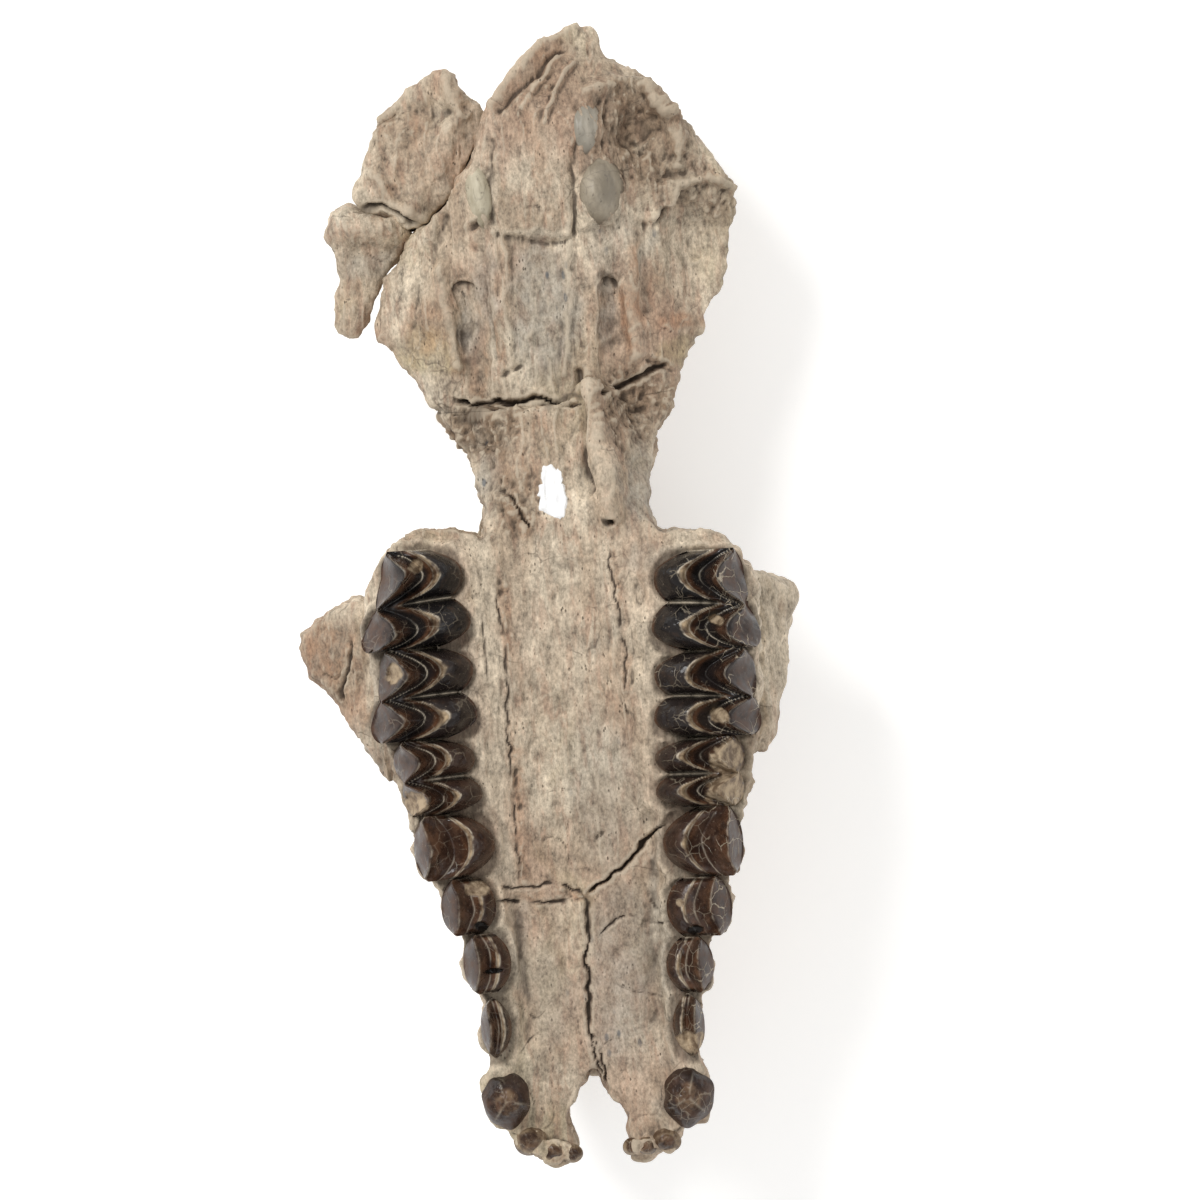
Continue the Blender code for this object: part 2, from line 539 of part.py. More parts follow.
def frontal():
    """Forehead with the upper rims of the eye sockets, narrowing behind them."""
    top_limit = ROOF_SPLIT - GAP / 2

    def top(x, y):
        rim = 4.0 * smooth_step(np.abs(x), 13, 20) * smooth_step(y, -34, -24)
        rise = (BRAIN_SPLIT - ROOF_SPLIT) * np.clip((y - 13) / (WAIST_BACK - 13), 0, 1)
        return top_limit - rim * (1 - smooth_step(y, 10, 14)) + rise

    front = lambda x: np.full_like(x, -38 + GAP / 2)
    back = lambda x: np.full_like(x, WAIST_BACK - GAP / 2)
    left = lambda y: -frontal_width(y)
    right = lambda y: frontal_width(y)
    bone = block("frontal", (-38, WAIST_BACK), left, right, top, forehead, (26, 16), front, back, 9.0)
    thin_out(bone, 0.6)
    paint(bone, BONE)


def sphenoid():
    """Narrow waist between palate and braincase, with the raised pterygoid bar."""
    left = lambda y: cranium_left(y) + 0.2
    right = lambda y: cranium_right(y) - 0.2
    front = lambda x: np.full_like(x, WAIST_FRONT + GAP / 2)
    back = lambda x: waist_seam(x) - GAP * 0.75
    slope = (BRAIN_SPLIT - ROOF_SPLIT) / (WAIST_BACK - WAIST_FRONT)
    under = lambda x, y: ROOF_SPLIT + GAP / 2 + slope * (y - WAIST_FRONT)
    span = (WAIST_FRONT, WAIST_BACK)
    bone = block("sphenoid", span, left, right, palate, under, (12, 20), front, back, 12.0)
    thin_out(bone, 0.7)
    paint(bone, PALE_BONE)


def skull_base_bone():
    """Middle of the skull base from the waist to the occiput, with both bullae."""
    left = lambda y: np.maximum(cranium_left(y), -BASE_HALF_WIDTH)
    right = lambda y: np.minimum(cranium_right(y), BASE_HALF_WIDTH)
    under = lambda x, y: BRAIN_SPLIT + GAP / 2 + 0 * x
    front = lambda x: waist_seam(x) + GAP * 0.75
    back = lambda x: np.full_like(x, 96 - GAP / 2)
    bone = block("skull_base", (WAIST_BACK, 96), left, right, skull_base, under, (34, 26), front, back, 8.0)
    thin_out(bone, 0.45)
    paint(bone, PALE_BONE)


def squamosal(side):
    """Glenoid plate and broken root of the zygomatic arch beside the skull base."""
    sign = SIDES[side]
    seam = lambda y: sign * (BASE_HALF_WIDTH + GAP) + 0 * y
    edge = cranium_left if sign < 0 else cranium_right
    span = (38.6, 73.0) if sign < 0 else (38.6, 95.6)
    outer = lambda y: sign * np.maximum(sign * edge(y), BASE_HALF_WIDTH + 1.2)
    left, right = (outer, seam) if sign < 0 else (seam, outer)
    under = lambda x, y: BRAIN_SPLIT + GAP / 2 + (ZYGOMA_UNDER - BRAIN_SPLIT) * (
        smooth_step(np.abs(x), 22.5, 29))
    soft = (4.5, 0) if sign < 0 else (0, 4.5)
    bone = block("squamosal_" + side, span, left, right, skull_base, under, (18, 8), soft=soft)
    thin_out(bone, 0.8)
    paint(bone, BONE)


def broken_plate(name, left_points, right_points, level, cells):
    """Loose piece of the left squamosal, lying against the braincase."""
    left, right = outline(left_points), outline(right_points)
    span = (left_points[0][0], left_points[-1][0])
    under = lambda x, y: BRAIN_SPLIT + GAP + (ZYGOMA_UNDER - BRAIN_SPLIT) * smooth_step(-x, 22.5, 29)
    bone = block(name, span, left, right, level, under, cells, soft=(3.0, 2.0))
    paint(bone, BONE)


def mastoid_level(x, y):
    """Upper face of the plate: ridges along both edges and a shallow hollow between them."""
    return (38.5 + 0.12 * (x + 22) + swelling(x, y, (-28, 83), (4.5, 6), 1.8)
            + swelling(x, y, (-24, 93), (4, 4), -1.4) + ridge(x, y, (-14, 97), (-18, 80), 1.8, 1.2)
            + ridge(x, y, (-33, 79), (-24, 75.5), 1.8, 1.4))


def zygoma_level(x, y):
    """Upper face of the zygomatic root: a rounded knob above a falling tail."""
    knob = ridge(x, y, (-36.5, 73), (-28, 73.5), 3.4, 5.2)
    return 34.5 + knob + swelling(x, y, (-36.5, 60), (3, 7), 1.6)


def braincase():
    """Roof of the braincase with its midline crest."""
    left = lambda y: -brain_left(y)
    top = lambda x, y: BRAIN_SPLIT - GAP / 2 + 0 * x
    under = lambda x, y: np.minimum(brain_dome(x, y), BRAIN_SPLIT - 2.0)
    front = lambda x: np.full_like(x, WAIST_BACK + GAP / 2)
    back = lambda x: np.full_like(x, 96 - GAP / 2)
    bone = block("braincase", (WAIST_BACK, 96), left, brain_right, top, under, (24, 24), front, back, 6.0)
    thin_out(bone, 0.45)
    paint(bone, BONE)


def occiput():
    """Back of the skull with the neck crest and the hole for the spinal cord."""
    left = lambda y: cranium_left(y) + 0.3
    right = lambda y: cranium_right(y) - 0.3
    under = lambda x, y: np.minimum(brain_dome(x, y), BRAIN_SPLIT + 3)
    front = lambda x: np.full_like(x, 96 + GAP / 2)
    bone = block("occiput", (96, 108.6), left, right, skull_base, under, (8, 12), front, None, 4.0)
    carve(bone, (6.5, 107, 26), (6.0, 7.0, 5.5))
    thin_out(bone, 0.7)
    paint(bone, BONE)


def jugal(side):
    """Broken stub of the cheek bone beside the molars."""
    sign = SIDES[side]
    points = JUGAL_LEFT if sign < 0 else JUGAL_RIGHT
    outer = outline(points)
    reach = abs(points[3][1]) if sign < 0 else 44.7
    inner = lambda y: face_edge[side](y) + sign * GAP
    tip = lambda y: sign * np.maximum(sign * outer(y), sign * inner(y) + 0.8)
    left, right = (tip, inner) if sign < 0 else (inner, tip)
    top = lambda x, y: 49.0 - 7.0 * smooth_step(np.abs(x), 35, reach + 2)
    under = lambda x, y: ORBIT_FLOOR - 4.5 + 2.5 * smooth_step(np.abs(x), 37, reach)
    span = (points[0][0], points[-1][0])
    soft = (4.0, 0) if sign < 0 else (0, 4.0)
    bone = block("jugal_" + side, span, left, right, top, under, (12, 6), soft=soft)
    paint(bone, BONE)


def build():
    """Makes the skull bone by bone."""
    for thing in list(bpy.data.objects):
        bpy.data.objects.remove(thing)
    for side in SIDES:
        maxilla(side)
        premaxilla(side)
        jugal(side)
        squamosal(side)
    nasals()
    frontal()
    sphenoid()
    skull_base_bone()
    braincase()
    occiput()
    broken_plate("mastoid_plate_left", PLATE_LEFT, PLATE_RIGHT, mastoid_level, (14, 7))
    broken_plate("zygomatic_root_left", ROOT_LEFT, ROOT_RIGHT, zygoma_level, (13, 6))


build()
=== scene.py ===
"""Looks of the fossil oreodont skull: weathered bones, dark crescent teeth and a plain stage.

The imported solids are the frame. Places along the skull are in millimetres, measured as in the
part's own source: x towards the animal's right, y towards the back of the skull, z up.
"""

import json
import math

import bmesh
import bpy
import numpy as np
from bpy.props import FloatProperty, FloatVectorProperty, PointerProperty
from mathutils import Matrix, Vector
from mathutils.bvhtree import BVHTree
from mathutils.kdtree import KDTree


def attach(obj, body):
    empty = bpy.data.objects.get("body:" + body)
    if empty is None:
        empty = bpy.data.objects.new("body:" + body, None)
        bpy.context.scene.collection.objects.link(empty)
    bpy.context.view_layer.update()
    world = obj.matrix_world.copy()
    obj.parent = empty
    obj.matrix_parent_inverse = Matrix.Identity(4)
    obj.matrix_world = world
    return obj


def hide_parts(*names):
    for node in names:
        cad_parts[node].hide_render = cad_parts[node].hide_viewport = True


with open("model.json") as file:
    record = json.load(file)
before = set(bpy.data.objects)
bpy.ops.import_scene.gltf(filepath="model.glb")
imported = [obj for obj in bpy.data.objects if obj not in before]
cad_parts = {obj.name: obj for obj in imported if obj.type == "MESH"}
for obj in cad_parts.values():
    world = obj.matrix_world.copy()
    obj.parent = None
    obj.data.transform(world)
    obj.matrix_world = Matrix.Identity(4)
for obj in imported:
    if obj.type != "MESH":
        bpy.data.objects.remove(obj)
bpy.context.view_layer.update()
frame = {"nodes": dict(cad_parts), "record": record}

bl_info = {
    "name": "Fossil oreodont skull",
    "version": (1, 0, 0),
    "blender": (4, 5, 0),
    "location": "3D View > Sidebar > Skull",
    "description": "Makes the weathered bones, the crescent teeth and the stage of a fossil skull",
    "category": "Object",
}

MM = 0.001
MIDDLE = np.array([-3.3, 0.5, 0.0])
SIDES = {"left": -1, "right": 1}
built = {}

# ---------------------------------------------------------------- curves and noise


def smooth(value, start, end):
    """Goes from 0 at start to 1 at end without a corner."""
    share = np.clip((value - start) / (end - start), 0, 1)
    return share * share * (3 - 2 * share)


def profile(points):
    """Smooth curve through a few points."""
    places, values = (np.array(column, dtype=float) for column in zip(*points))
    slopes = np.gradient(values, places)

    def curve(at):
        at = np.clip(at, places[0], places[-1])
        cell = np.clip(np.searchsorted(places, at) - 1, 0, len(places) - 2)
        width = places[cell + 1] - places[cell]
        t = (at - places[cell]) / width
        near = (1 + 2 * t) * (1 - t) ** 2 * values[cell] + t * (1 - t) ** 2 * width * slopes[cell]
        far = t * t * (3 - 2 * t) * values[cell + 1] - t * t * (1 - t) * width * slopes[cell + 1]
        return near + far
    return curve


def lattice(x, y, z, seed):
    """One repeatable random value between -1 and 1 for each corner of a lattice."""
    code = x * 374761393 + y * 668265263 + z * 1440670441 + seed * 1274126177
    code = (code ^ (code >> 13)) * 1103515245 & 0x7FFFFFFF
    code = (code ^ (code >> 15)) * 12345461 & 0x7FFFFFFF
    return (code >> 7 & 0xFFFF) / 32767.5 - 1


def noise(points, size, seed):
    """Smooth noise whose lumps are about as long along each axis as size says."""
    place = points / np.asarray(size, dtype=float)
    corner = np.floor(place).astype(np.int64)
    part = place - corner
    part = part * part * (3 - 2 * part)
    total = 0
    for dx in (0, 1):
        for dy in (0, 1):
            for dz in (0, 1):
                share = 1.0
                for axis, step in enumerate((dx, dy, dz)):
                    share = share * (part[..., axis] if step else 1 - part[..., axis])
                total = total + share * lattice(corner[..., 0] + dx, corner[..., 1] + dy,
                                                corner[..., 2] + dz, seed)
    return total


def rough(points, size, seed, layers=3):
    """Noise with finer and fainter layers on it."""
    size = np.asarray(size, dtype=float)
    return sum(noise(points, size / 2 ** k, seed + k) / 1.8 ** k for k in range(layers))


def hill(away, width, power=2):
    """1 where away is 0, falling to about a third at width."""
    return np.exp(-(away / width) ** power)


def spot(x, y, cx, cy, rx, ry, turn=0.0):
    """1 in the middle of a soft oval and 0 far from it."""
    across = (x - cx) * math.cos(turn) + (y - cy) * math.sin(turn)
    onward = (y - cy) * math.cos(turn) - (x - cx) * math.sin(turn)
    return np.exp(-(across / rx) ** 2 - (onward / ry) ** 2)


def track(x, y, points):
    """Distance to a line through points, and how far along it the nearest place is."""
    nearest = np.full(x.shape, 1e9)
    share = np.zeros(x.shape)
    count = len(points) - 1
    for step, (start, end) in enumerate(zip(points, points[1:])):
        run = np.subtract(end, start)
        part = np.clip(((x - start[0]) * run[0] + (y - start[1]) * run[1]) / (run @ run), 0, 1)
        away = np.hypot(x - start[0] - part * run[0], y - start[1] - part * run[1])
        closer = away < nearest
        nearest = np.where(closer, away, nearest)
        share = np.where(closer, (step + part) / count, share)
    return nearest, share


# ---------------------------------------------------------------- the skull's own forms

palate_height = profile([(-108, 40), (-95, 43.5), (-80, 46.5), (-60, 50), (-40, 53), (-20, 55),
                         (0, 55.5), (12, 54.5), (25, 52), (37, 49.5), (44, 48)])

# Cracks: points along each one, half width, depth
CRACKS = [
    ([(-17.4, 39.1), (-14.6, 38.1), (-10.4, 38.6), (-6.7, 37.8), (-2.5, 38.6), (0.1, 38.1), (2.3, 36.8),
      (5.2, 36.8)], 0.52, 2.6),
    ([(9.8, 38.4), (13.5, 39.6), (17.4, 40.9), (20.7, 42.9), (23.2, 43.5)], 0.6, 1.6),
    ([(-12.8, 10.7), (-11.1, 5.5), (-12, 0.8), (-11.4, -6.8), (-11, -14.3), (-11.8, -21.8),
      (-11.4, -29.4), (-11.4, -36.9), (-11.6, -46.3), (-11.3, -52.9)], 0.30, 0.5),
    ([(-13.2, 11.3), (-15.6, 1.1), (-15, -6.5), (-14.7, -14.1)], 0.25, 0.4),
    ([(9.4, 10.7), (9.6, 3.1), (10.6, -2.6), (11.2, -10.2), (10.9, -17.7), (10.9, -22.4)], 0.28, 0.5),
    ([(1.3, -55.5), (4.3, -54), (7.1, -51.5), (9.7, -49.4), (11.7, -47.5), (14.2, -44.8),
      (16.9, -43.1)], 0.48, 2),
    ([(-15.1, -53.1), (-11.4, -53.9), (-6.6, -53.3), (-2.7, -53.5), (0.7, -56)], 0.32, 0.7),
    ([(-16.3, -55.6), (-11.6, -56.5), (-5.9, -56.7), (0.5, -56.6)], 0.40, 0.9),
    ([(0.3, -65.1), (3.1, -63.4), (6.1, -61), (8.9, -60.4), (12.3, -61.6), (16.8, -62.1)], 0.30, 0.8),
    ([(0.7, -56.2), (0.9, -62.6), (0.1, -68.2), (0.3, -75.8), (-0.4, -81.5), (0.6, -86.3), (0.9, -90.1),
      (1.6, -93.6)], 0.46, 1.2),
    ([(0.3, -82.5), (1.2, -85.4), (2.1, -89.3), (2.4, -93.5)], 0.36, 1),
    ([(-40, -4.9), (-40.7, -9.6), (-42.9, -14.2), (-43.4, -16)], 0.46, 0.8),
    ([(-10, 22), (-7.9, 19.4), (-6.2, 16.5), (-5.3, 14)], 0.45, 1.3),
    ([(-22.9, 72.6), (-26, 75.5), (-29.3, 76.8), (-32.6, 77.1)], 0.6, 1.6),
]
# Ridges and grooves: points along each one, half width, height
RIDGES = [
    ([(8.3, 42), (8.4, 37.3), (8.8, 31.6), (9.4, 24), (10.7, 15.4)], 2, 0.9),
    ([(6.3, 42.7), (6.1, 37.4), (6.3, 31.8), (6.7, 26), (7.3, 20.3)], 0.8, -1.3),
    ([(21.5, 71.5), (24.8, 74.3), (27.4, 76.9), (33.3, 78.7), (37.8, 76.2)], 1, 1.3),
    ([(-7.2, 69.3), (-3.1, 67.9), (1.6, 67.2), (5.3, 67.7), (7.3, 69.3)], 0.7, -0.45),
    ([(-7.3, 87.4), (-8, 78), (-8.5, 70.6)], 0.7, -0.4),
    ([(8.3, 86.4), (8, 78), (7.2, 69.6)], 0.7, -0.5),
    ([(-6.3, 68.8), (-6.9, 56), (-6.3, 43.7)], 0.8, 0.55),
    ([(6.4, 69), (5.2, 56), (3.5, 43)], 0.8, 0.55),
    ([(-11, 66.8), (-10.6, 56), (-9.5, 46.9)], 1.3, -0.8),
    ([(-14.6, 53.5), (-14.2, 48), (-13.3, 41.3)], 2.4, -0.6),
    ([(13.3, 53.5), (11.8, 48), (9.9, 42.6)], 2.2, -0.6),
    ([(-14.9, 57.6), (-14.7, 54)], 1.6, 0.9),
    ([(13.5, 57.6), (13.3, 54)], 1.5, 0.8),
    ([(16.4, 59.6), (17, 52), (17.7, 45.1)], 1.4, 0.9),
    ([(20.6, 70), (19.8, 62), (20.4, 54)], 1.3, -0.8),
    ([(-18.5, 64), (-17.8, 55), (-16.8, 46)], 1.3, 0.8),
    ([(-24.5, 54), (-21, 66), (-17, 74)], 1, -0.6),
    ([(-7.2, 94.2), (-1.6, 100.4), (4.4, 105.2), (9.5, 108)], 0.9, 1),
    ([(-5.4, 93.2), (0.8, 99.2), (7.2, 103.8)], 0.7, -0.9),
    ([(2.7, 90.7), (5.4, 95.3), (8.5, 100.8)], 0.45, 0.8),
    ([(-1, 93.5), (2.5, 98.5), (6.5, 102)], 0.6, 0.5),
    ([(11, 95.5), (17, 97.2), (22.5, 96), (26, 92)], 1.5, 1.5),
    ([(26.8, 91), (28.5, 86), (27.2, 81.5)], 1.3, 1),
    ([(13.8, -42), (13, -60), (12.6, -80)], 1.3, -0.5),
    ([(-12.2, -56), (-11.8, -70), (-11.2, -82)], 1.2, -0.5),
    ([(-27.8, 94.5), (-20.9, 94.9), (-15.7, 93.7)], 1.8, -1.1),
    ([(-15.2, 100.1), (-13.4, 93.5), (-19.7, 83.5), (-23.9, 75.6)], 1.5, 0.8),
    ([(-30.2, 83.6), (-27.2, 77.2), (-21, 74.4)], 1.1, 0.9),
    ([(-8.5, 70), (-10.5, 74), (-12.5, 71.5)], 0.8, 0.5),
]
# Pits and hollows: centre, radii, turn, depth
PITS = [
    (10.2, 14.1, 0.8, 0.8, 0, 2.6), (-13.2, 34.6, 3.8, 3, 0.3, -1.5), (16, 36.5, 3.4, 4.2, 0, 1.2),
    (21, 88, 4.8, 4.4, 0.3, 1.8), (24.8, 81, 2.6, 3.2, 0, 1.2), (14.6, 92.5, 1.6, 3.2, 0, 0.8),
    (-31.9, 76.4, 1.8, 0.9, 0, 2.2), (30.5, 67.5, 4.6, 4.2, 0.4, 0.9), (27.5, 58, 4, 4.5, 0, 0.8),
    (4.2, -44.6, 1.2, 0.8, 0.3, 0.6), (-10.4, -33, 0.7, 2.2, 0, 0.7), (12.2, -15.6, 0.7, 1.8, 0, 0.6),
    (-11, 3, 0.9, 2.6, 0, 0.6), (17.5, -39.5, 1.3, 1, 0, 1.6), (23.6, 72.4, 0.9, 1.7, -0.3, 1.5),
    (-11.6, 71.6, 1.5, 1, 0.4, 0.9), (-6.5, 44.2, 2.6, 0.7, 0.5, 0.8), (21.5, 43.2, 3, 1, -0.4, 1),
]
# Openings that rise towards the front: middle and place of the steep rear wall, half width, length, depth
SCOOPS = [(-14.6, 61.2, 1.8, 4, 0.7), (13.4, 61, 1.9, 4, 0.7)]
# Stains of each kind, and painted shade in pits, openings and a crack as the dark kind: centre, radii,
# strength
STAINS_AND_SHADE = {
    "matrix": [(22, 92.2, 11, 6.5, 0.75), (17.9, 85.8, 5.5, 8.5, 0.75), (25, 80.6, 8.5, 5.5, 0.8),
               (24.6, 88, 6, 6, 0.5), (31, 76.6, 8, 3.2, 0.65), (-26.5, 90, 5, 4, 0.45),
               (15.4, 90.1, 2.2, 4.5, 0.6), (-12.6, 33.4, 8.5, 6.5, 1), (16.8, 36.2, 7.5, 7.5, 0.85),
               (-7, 19, 5.5, 6, 0.6), (-33.6, -32.7, 2.2, 5.2, 0.6), (33.4, -33.5, 3, 7.4, 0.6),
               (3.5, 96.2, 2.6, 2.2, 0.7), (-12.4, 93.2, 1.9, 4.5, 0.4), (-19.5, 91.8, 1.9, 1.5, 0.4),
               (12.5, 74.8, 1.9, 7.5, 0.3), (31.4, 75.4, 4.5, 1.5, 0.6), (6.7, 101.7, 5.6, 3.8, 0.3),
               (-7.5, 28.5, 3.6, 5.5, 0.35), (-12.5, 35, 6, 4.2, 0.95), (-43.5, -9, 5.5, 10, 0.4),
               (35.6, 74.4, 4.8, 5, 0.65), (2.4, 99.6, 3, 1.2, 0.6), (-18, 43.5, 1.6, 3, 0.3),
               (33, -62, 2, 4, 0.3), (-24.5, 93.8, 3.6, 1.2, 0.45)],
    "grey": [(0.7, 54.8, 6.4, 13.1, 0.7), (-9.9, 57.4, 1.9, 10.3, 0.6), (-12.3, 24.5, 2.2, 7.9, 0.7),
             (16.4, 21.6, 1.9, 8.4, 0.7), (14.4, -60.6, 1.5, 15.9, 0.6), (-11.6, -65.4, 1.7, 9.4, 0.4),
             (4.9, -36.3, 5.6, 13.1, 0.4), (-32.6, 66.5, 5.2, 2.2, 0.5), (13.9, 68.1, 4.1, 7.5, 0.3),
             (2.1, 48.1, 4.1, 5.6, 0.6), (17.3, 6.4, 5.6, 2.6, 0.3), (8, -64, 6.5, 9, 0.55),
             (6.5, -77, 6, 10, 0.6), (-7, -75, 4, 11, 0.3), (-14.2, 53, 1.9, 6, 0.8),
             (12.4, 53, 1.9, 6.5, 0.7), (21, 65, 1.6, 4, 0.5)],
    "rust": [(-45.1, -6.4, 5.6, 6.8, 0.8), (27, 51.5, 5.2, 1.7, 0.7), (18.2, 58.9, 1.3, 9, 0.8),
             (9.4, 29.6, 2.2, 12.4, 0.25), (-13.2, 45.4, 1.7, 7.5, 0.6), (0.9, 86, 1.5, 7.5, 0.4),
             (-14.6, 80.4, 1.5, 2.6, 0.4), (1.5, 31, 5.5, 5, 0.2), (-22.5, 52, 4, 4, 0.4),
             (-42, -15, 4, 9, 0.5), (-6.5, 25, 4, 7, 0.5), (-21.5, 87, 5.5, 7, 0.3),
             (16.8, 53, 1.2, 7, 0.8), (4.4, 103, 4, 2, 0.5), (-8.6, 50, 0.9, 5, 0.7),
             (-22, 56.5, 3.2, 3, 0.5), (-27, 79, 2.6, 1.4, 0.5), (22.5, 60, 2.4, 2.2, 0.4),
             (-38, 72, 3, 1.6, 0.4)],
    "olive": [(-22.4, 48.4, 4.9, 4.5, 0.7), (25.6, 45.6, 3.8, 2.2, 0.6), (23.5, -13, 5.6, 1.5, 0.2),
              (-17.8, -91.5, 2.6, 1.9, 0.3)],
    "pale": [(0.8, 69.8, 7.1, 0.9, 0.8), (-12, 77.4, 1.9, 5.6, 0.4), (-3, 0.2, 5.6, 11.2, 0.3),
             (30.7, 64.1, 4.9, 7.5, 0.3), (39.5, -9, 4.5, 13, 1), (-13.9, -5, 2.8, 19, 1),
             (-14, -37, 2.4, 16, 0.9), (14.2, -10, 2.2, 18, 0.8), (9.2, 26, 1.8, 9, 0.8),
             (-9.1, -75.1, 4.5, 11.2, 0.5)],
    # Painted shade in pits and holes, in the two openings of the skull base and along a crack.
    "dark": [(-13.8, 36, 3.6, 1.7, 0.55), (-14.7, 60.2, 1.2, 0.9, 0.5), (13.2, 60.2, 1.2, 0.9, 0.5),
             (10.2, 14.1, 0.8, 0.8, 0.9), (23.6, 72.6, 0.7, 1.2, 0.5), (-31.9, 76.1, 1.7, 0.8, 0.8),
             (2.3, 37.3, 3.8, 0.6, 0.7)],
}
SPOT_SPREAD = 1.15
RIDGE_STRENGTH = 1.45
TOP_LEVEL = (17, 24)     # stains fade in between these levels, and on the arches lower down
ARCH_SIDE, ARCH_LEVEL = (31, 34), (8, 14)


def wander(points, seed, amount, size):
    """The same places pushed about a little, so that no edge is a clean oval."""
    return (points[:, 0] + amount * noise(points, size, seed),
            points[:, 1] + amount * noise(points, size, seed + 7))


def stain_and_shade_masks(points):
    """How strongly each stain, and the painted shade of the pits and cracks, shows at each place."""
    x, y = wander(points, 11, 1.6, (4, 4, 6))
    grain = rough(points, (2.2, 5.0, 3.0), 23)
    arch = smooth(np.abs(points[:, 0]), *ARCH_SIDE) * smooth(points[:, 2], *ARCH_LEVEL)
    upper = np.maximum(smooth(points[:, 2], *TOP_LEVEL), arch)
    masks = {kind: np.zeros(len(points)) for kind in STAINS_AND_SHADE}
    for kind, places in STAINS_AND_SHADE.items():
        for cx, cy, rx, ry, strength in places:
            reach = spot(x, y, cx, cy, SPOT_SPREAD * rx, SPOT_SPREAD * ry) * (1 + 0.35 * grain)
            masks[kind] = np.maximum(masks[kind], strength * smooth(reach, 0.15, 0.75) * upper)
    return masks


def crack_depth(points):
    """Depth of the cracks at each place, and how far inside one it is."""
    x, y = wander(points, 31, 0.5, (1.6, 1.6, 4))
    depth = np.zeros(len(points))
    inside = np.zeros(len(points))
    wave = 0.75 + 0.45 * noise(points, (2.5, 2.5, 5), 37)
    for line, width, deep in CRACKS:
        away, share = track(x, y, line)
        ends = smooth(share, 0, 0.06) * (1 - smooth(share, 0.94, 1.0))
        gate = 1.0 if width > 0.45 else smooth(noise(points, (2.2, 3.4, 5), 39), -0.45, 0.05)
        trench = hill(away, width * np.clip(wave, 0.35, 1.3), 4) * (0.25 + 0.75 * ends) * gate
        depth = np.maximum(depth, deep * trench)
        inside = np.maximum(inside, trench * (1.0 if width > 0.35 else 0.75))
    return depth, inside


def crumbs(points):
    """Mask of the rough crumbly strips along the long cracks of the palate."""
    x, y = wander(points, 33, 0.8, (3, 3, 5))
    strips = [([(-10.9, 3), (-10.4, -15), (-10.6, -36), (-10.9, -52)], 1.1),
              ([(10.4, 9), (11.6, -10), (11.4, -24)], 0.8),
              ([(-14, -54.9), (-6, -55.1), (0.4, -56.3)], 0.9), ([(-9.4, 20), (-5.4, 13.6)], 2.2)]
    mask = np.zeros(len(points))
    for line, width in strips:
        away, share = track(x, y, line)
        mask = np.maximum(mask, hill(away, width, 4))
    return mask * smooth(noise(points, (3.0, 6.0, 6.0), 35), -0.5, 0.2)


def upper_relief(points):
    """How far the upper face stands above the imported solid's at each place."""
    x, y = wander(points, 41, 0.7, (3, 3, 6))
    lift = np.zeros(len(points))
    for line, width, height in RIDGES:
        away, share = track(x, y, line)
        lift += RIDGE_STRENGTH * height * hill(away, width)
    for cx, cy, rx, ry, turn, deep in PITS:
        lift -= deep * smooth(spot(x, y, cx, cy, rx, ry, turn), 0.1, 0.9)
    for cx, rear, half, length, deep in SCOOPS:
        rear = rear - 0.35 * (x - cx) ** 2 / half
        onward = (rear - y) / length
        lift -= deep * smooth(onward, -0.02, 0.07) * (1 - smooth(onward, 0.05, 1.0)) * hill(x - cx, half, 4)
    return lift


def socket_distance(x, y):
    """Rough distance from the nearest cheek tooth's foot, below 0 inside it."""
    nearest = np.full(x.shape, 9.0)
    for side, name, kind, back, front, lobes, warm in CHEEK_TEETH:
        length = (back - front) / len(lobes)
        for step, (inner, outer, sweep) in enumerate(lobes):
            half = (outer - inner) / 2
            u = (x * SIDES[side] - inner - half) / half
            v = (y - back + length * (step + 0.5) + 0.4 * sweep) / (0.56 * length)
            away = ((np.abs(u) ** 2.6 + np.abs(v) ** 2.6) ** (1 / 2.6) - 1) * min(half, 0.56 * length)
            nearest = np.minimum(nearest, away)
    return nearest


# ---------------------------------------------------------------- meshes


def to_part(points):
    """Millimetres along the skull to metres in the part's frame."""
    return (np.asarray(points, dtype=float) - MIDDLE) * MM


def to_skull(points):
    """Metres in the part's frame to millimetres along the skull."""
    return np.asarray(points, dtype=float) / MM + MIDDLE


def read_rows(items, field, width, kind=np.float32):
    """One field of every item, as rows of the given width."""
    flat = np.empty(len(items) * width, dtype=kind)
    items.foreach_get(field, flat)
    return flat.reshape(-1, width)


def get_points(mesh):
    """All vertices of a mesh as rows."""
    return read_rows(mesh.vertices, "co", 3).astype(float)


def set_points(mesh, points):
    """Puts all vertices of a mesh at new places."""
    mesh.vertices.foreach_set("co", points.astype(np.float32).ravel())
    mesh.update()


def get_normals(mesh):
    """Direction of the surface at every vertex."""
    return read_rows(mesh.vertex_normals, "vector", 3).astype(float)


def put_mask(mesh, name, values):
    """Writes one value for each vertex, for the materials to read."""
    layer = mesh.attributes.get(name) or mesh.attributes.new(name, "FLOAT", "POINT")
    layer.data.foreach_set("value", np.asarray(values, dtype=np.float32))


def new_object(name, points, faces):
    """Object from points in metres."""
    mesh = bpy.data.meshes.new(name)
    mesh.from_pydata(np.asarray(points).tolist(), [], faces)
    mesh.validate()
    thing = bpy.data.objects.new(name, mesh)
    bpy.context.scene.collection.objects.link(thing)
    return thing


def outward(mesh, merge=0.0):
    """Turns every face of a closed body outward, after joining points that are nearer than merge."""
    body = bmesh.new()
    body.from_mesh(mesh)
    if merge:
        bmesh.ops.remove_doubles(body, verts=body.verts, dist=merge)
    bmesh.ops.recalc_face_normals(body, faces=body.faces)
    body.to_mesh(mesh)
    body.free()


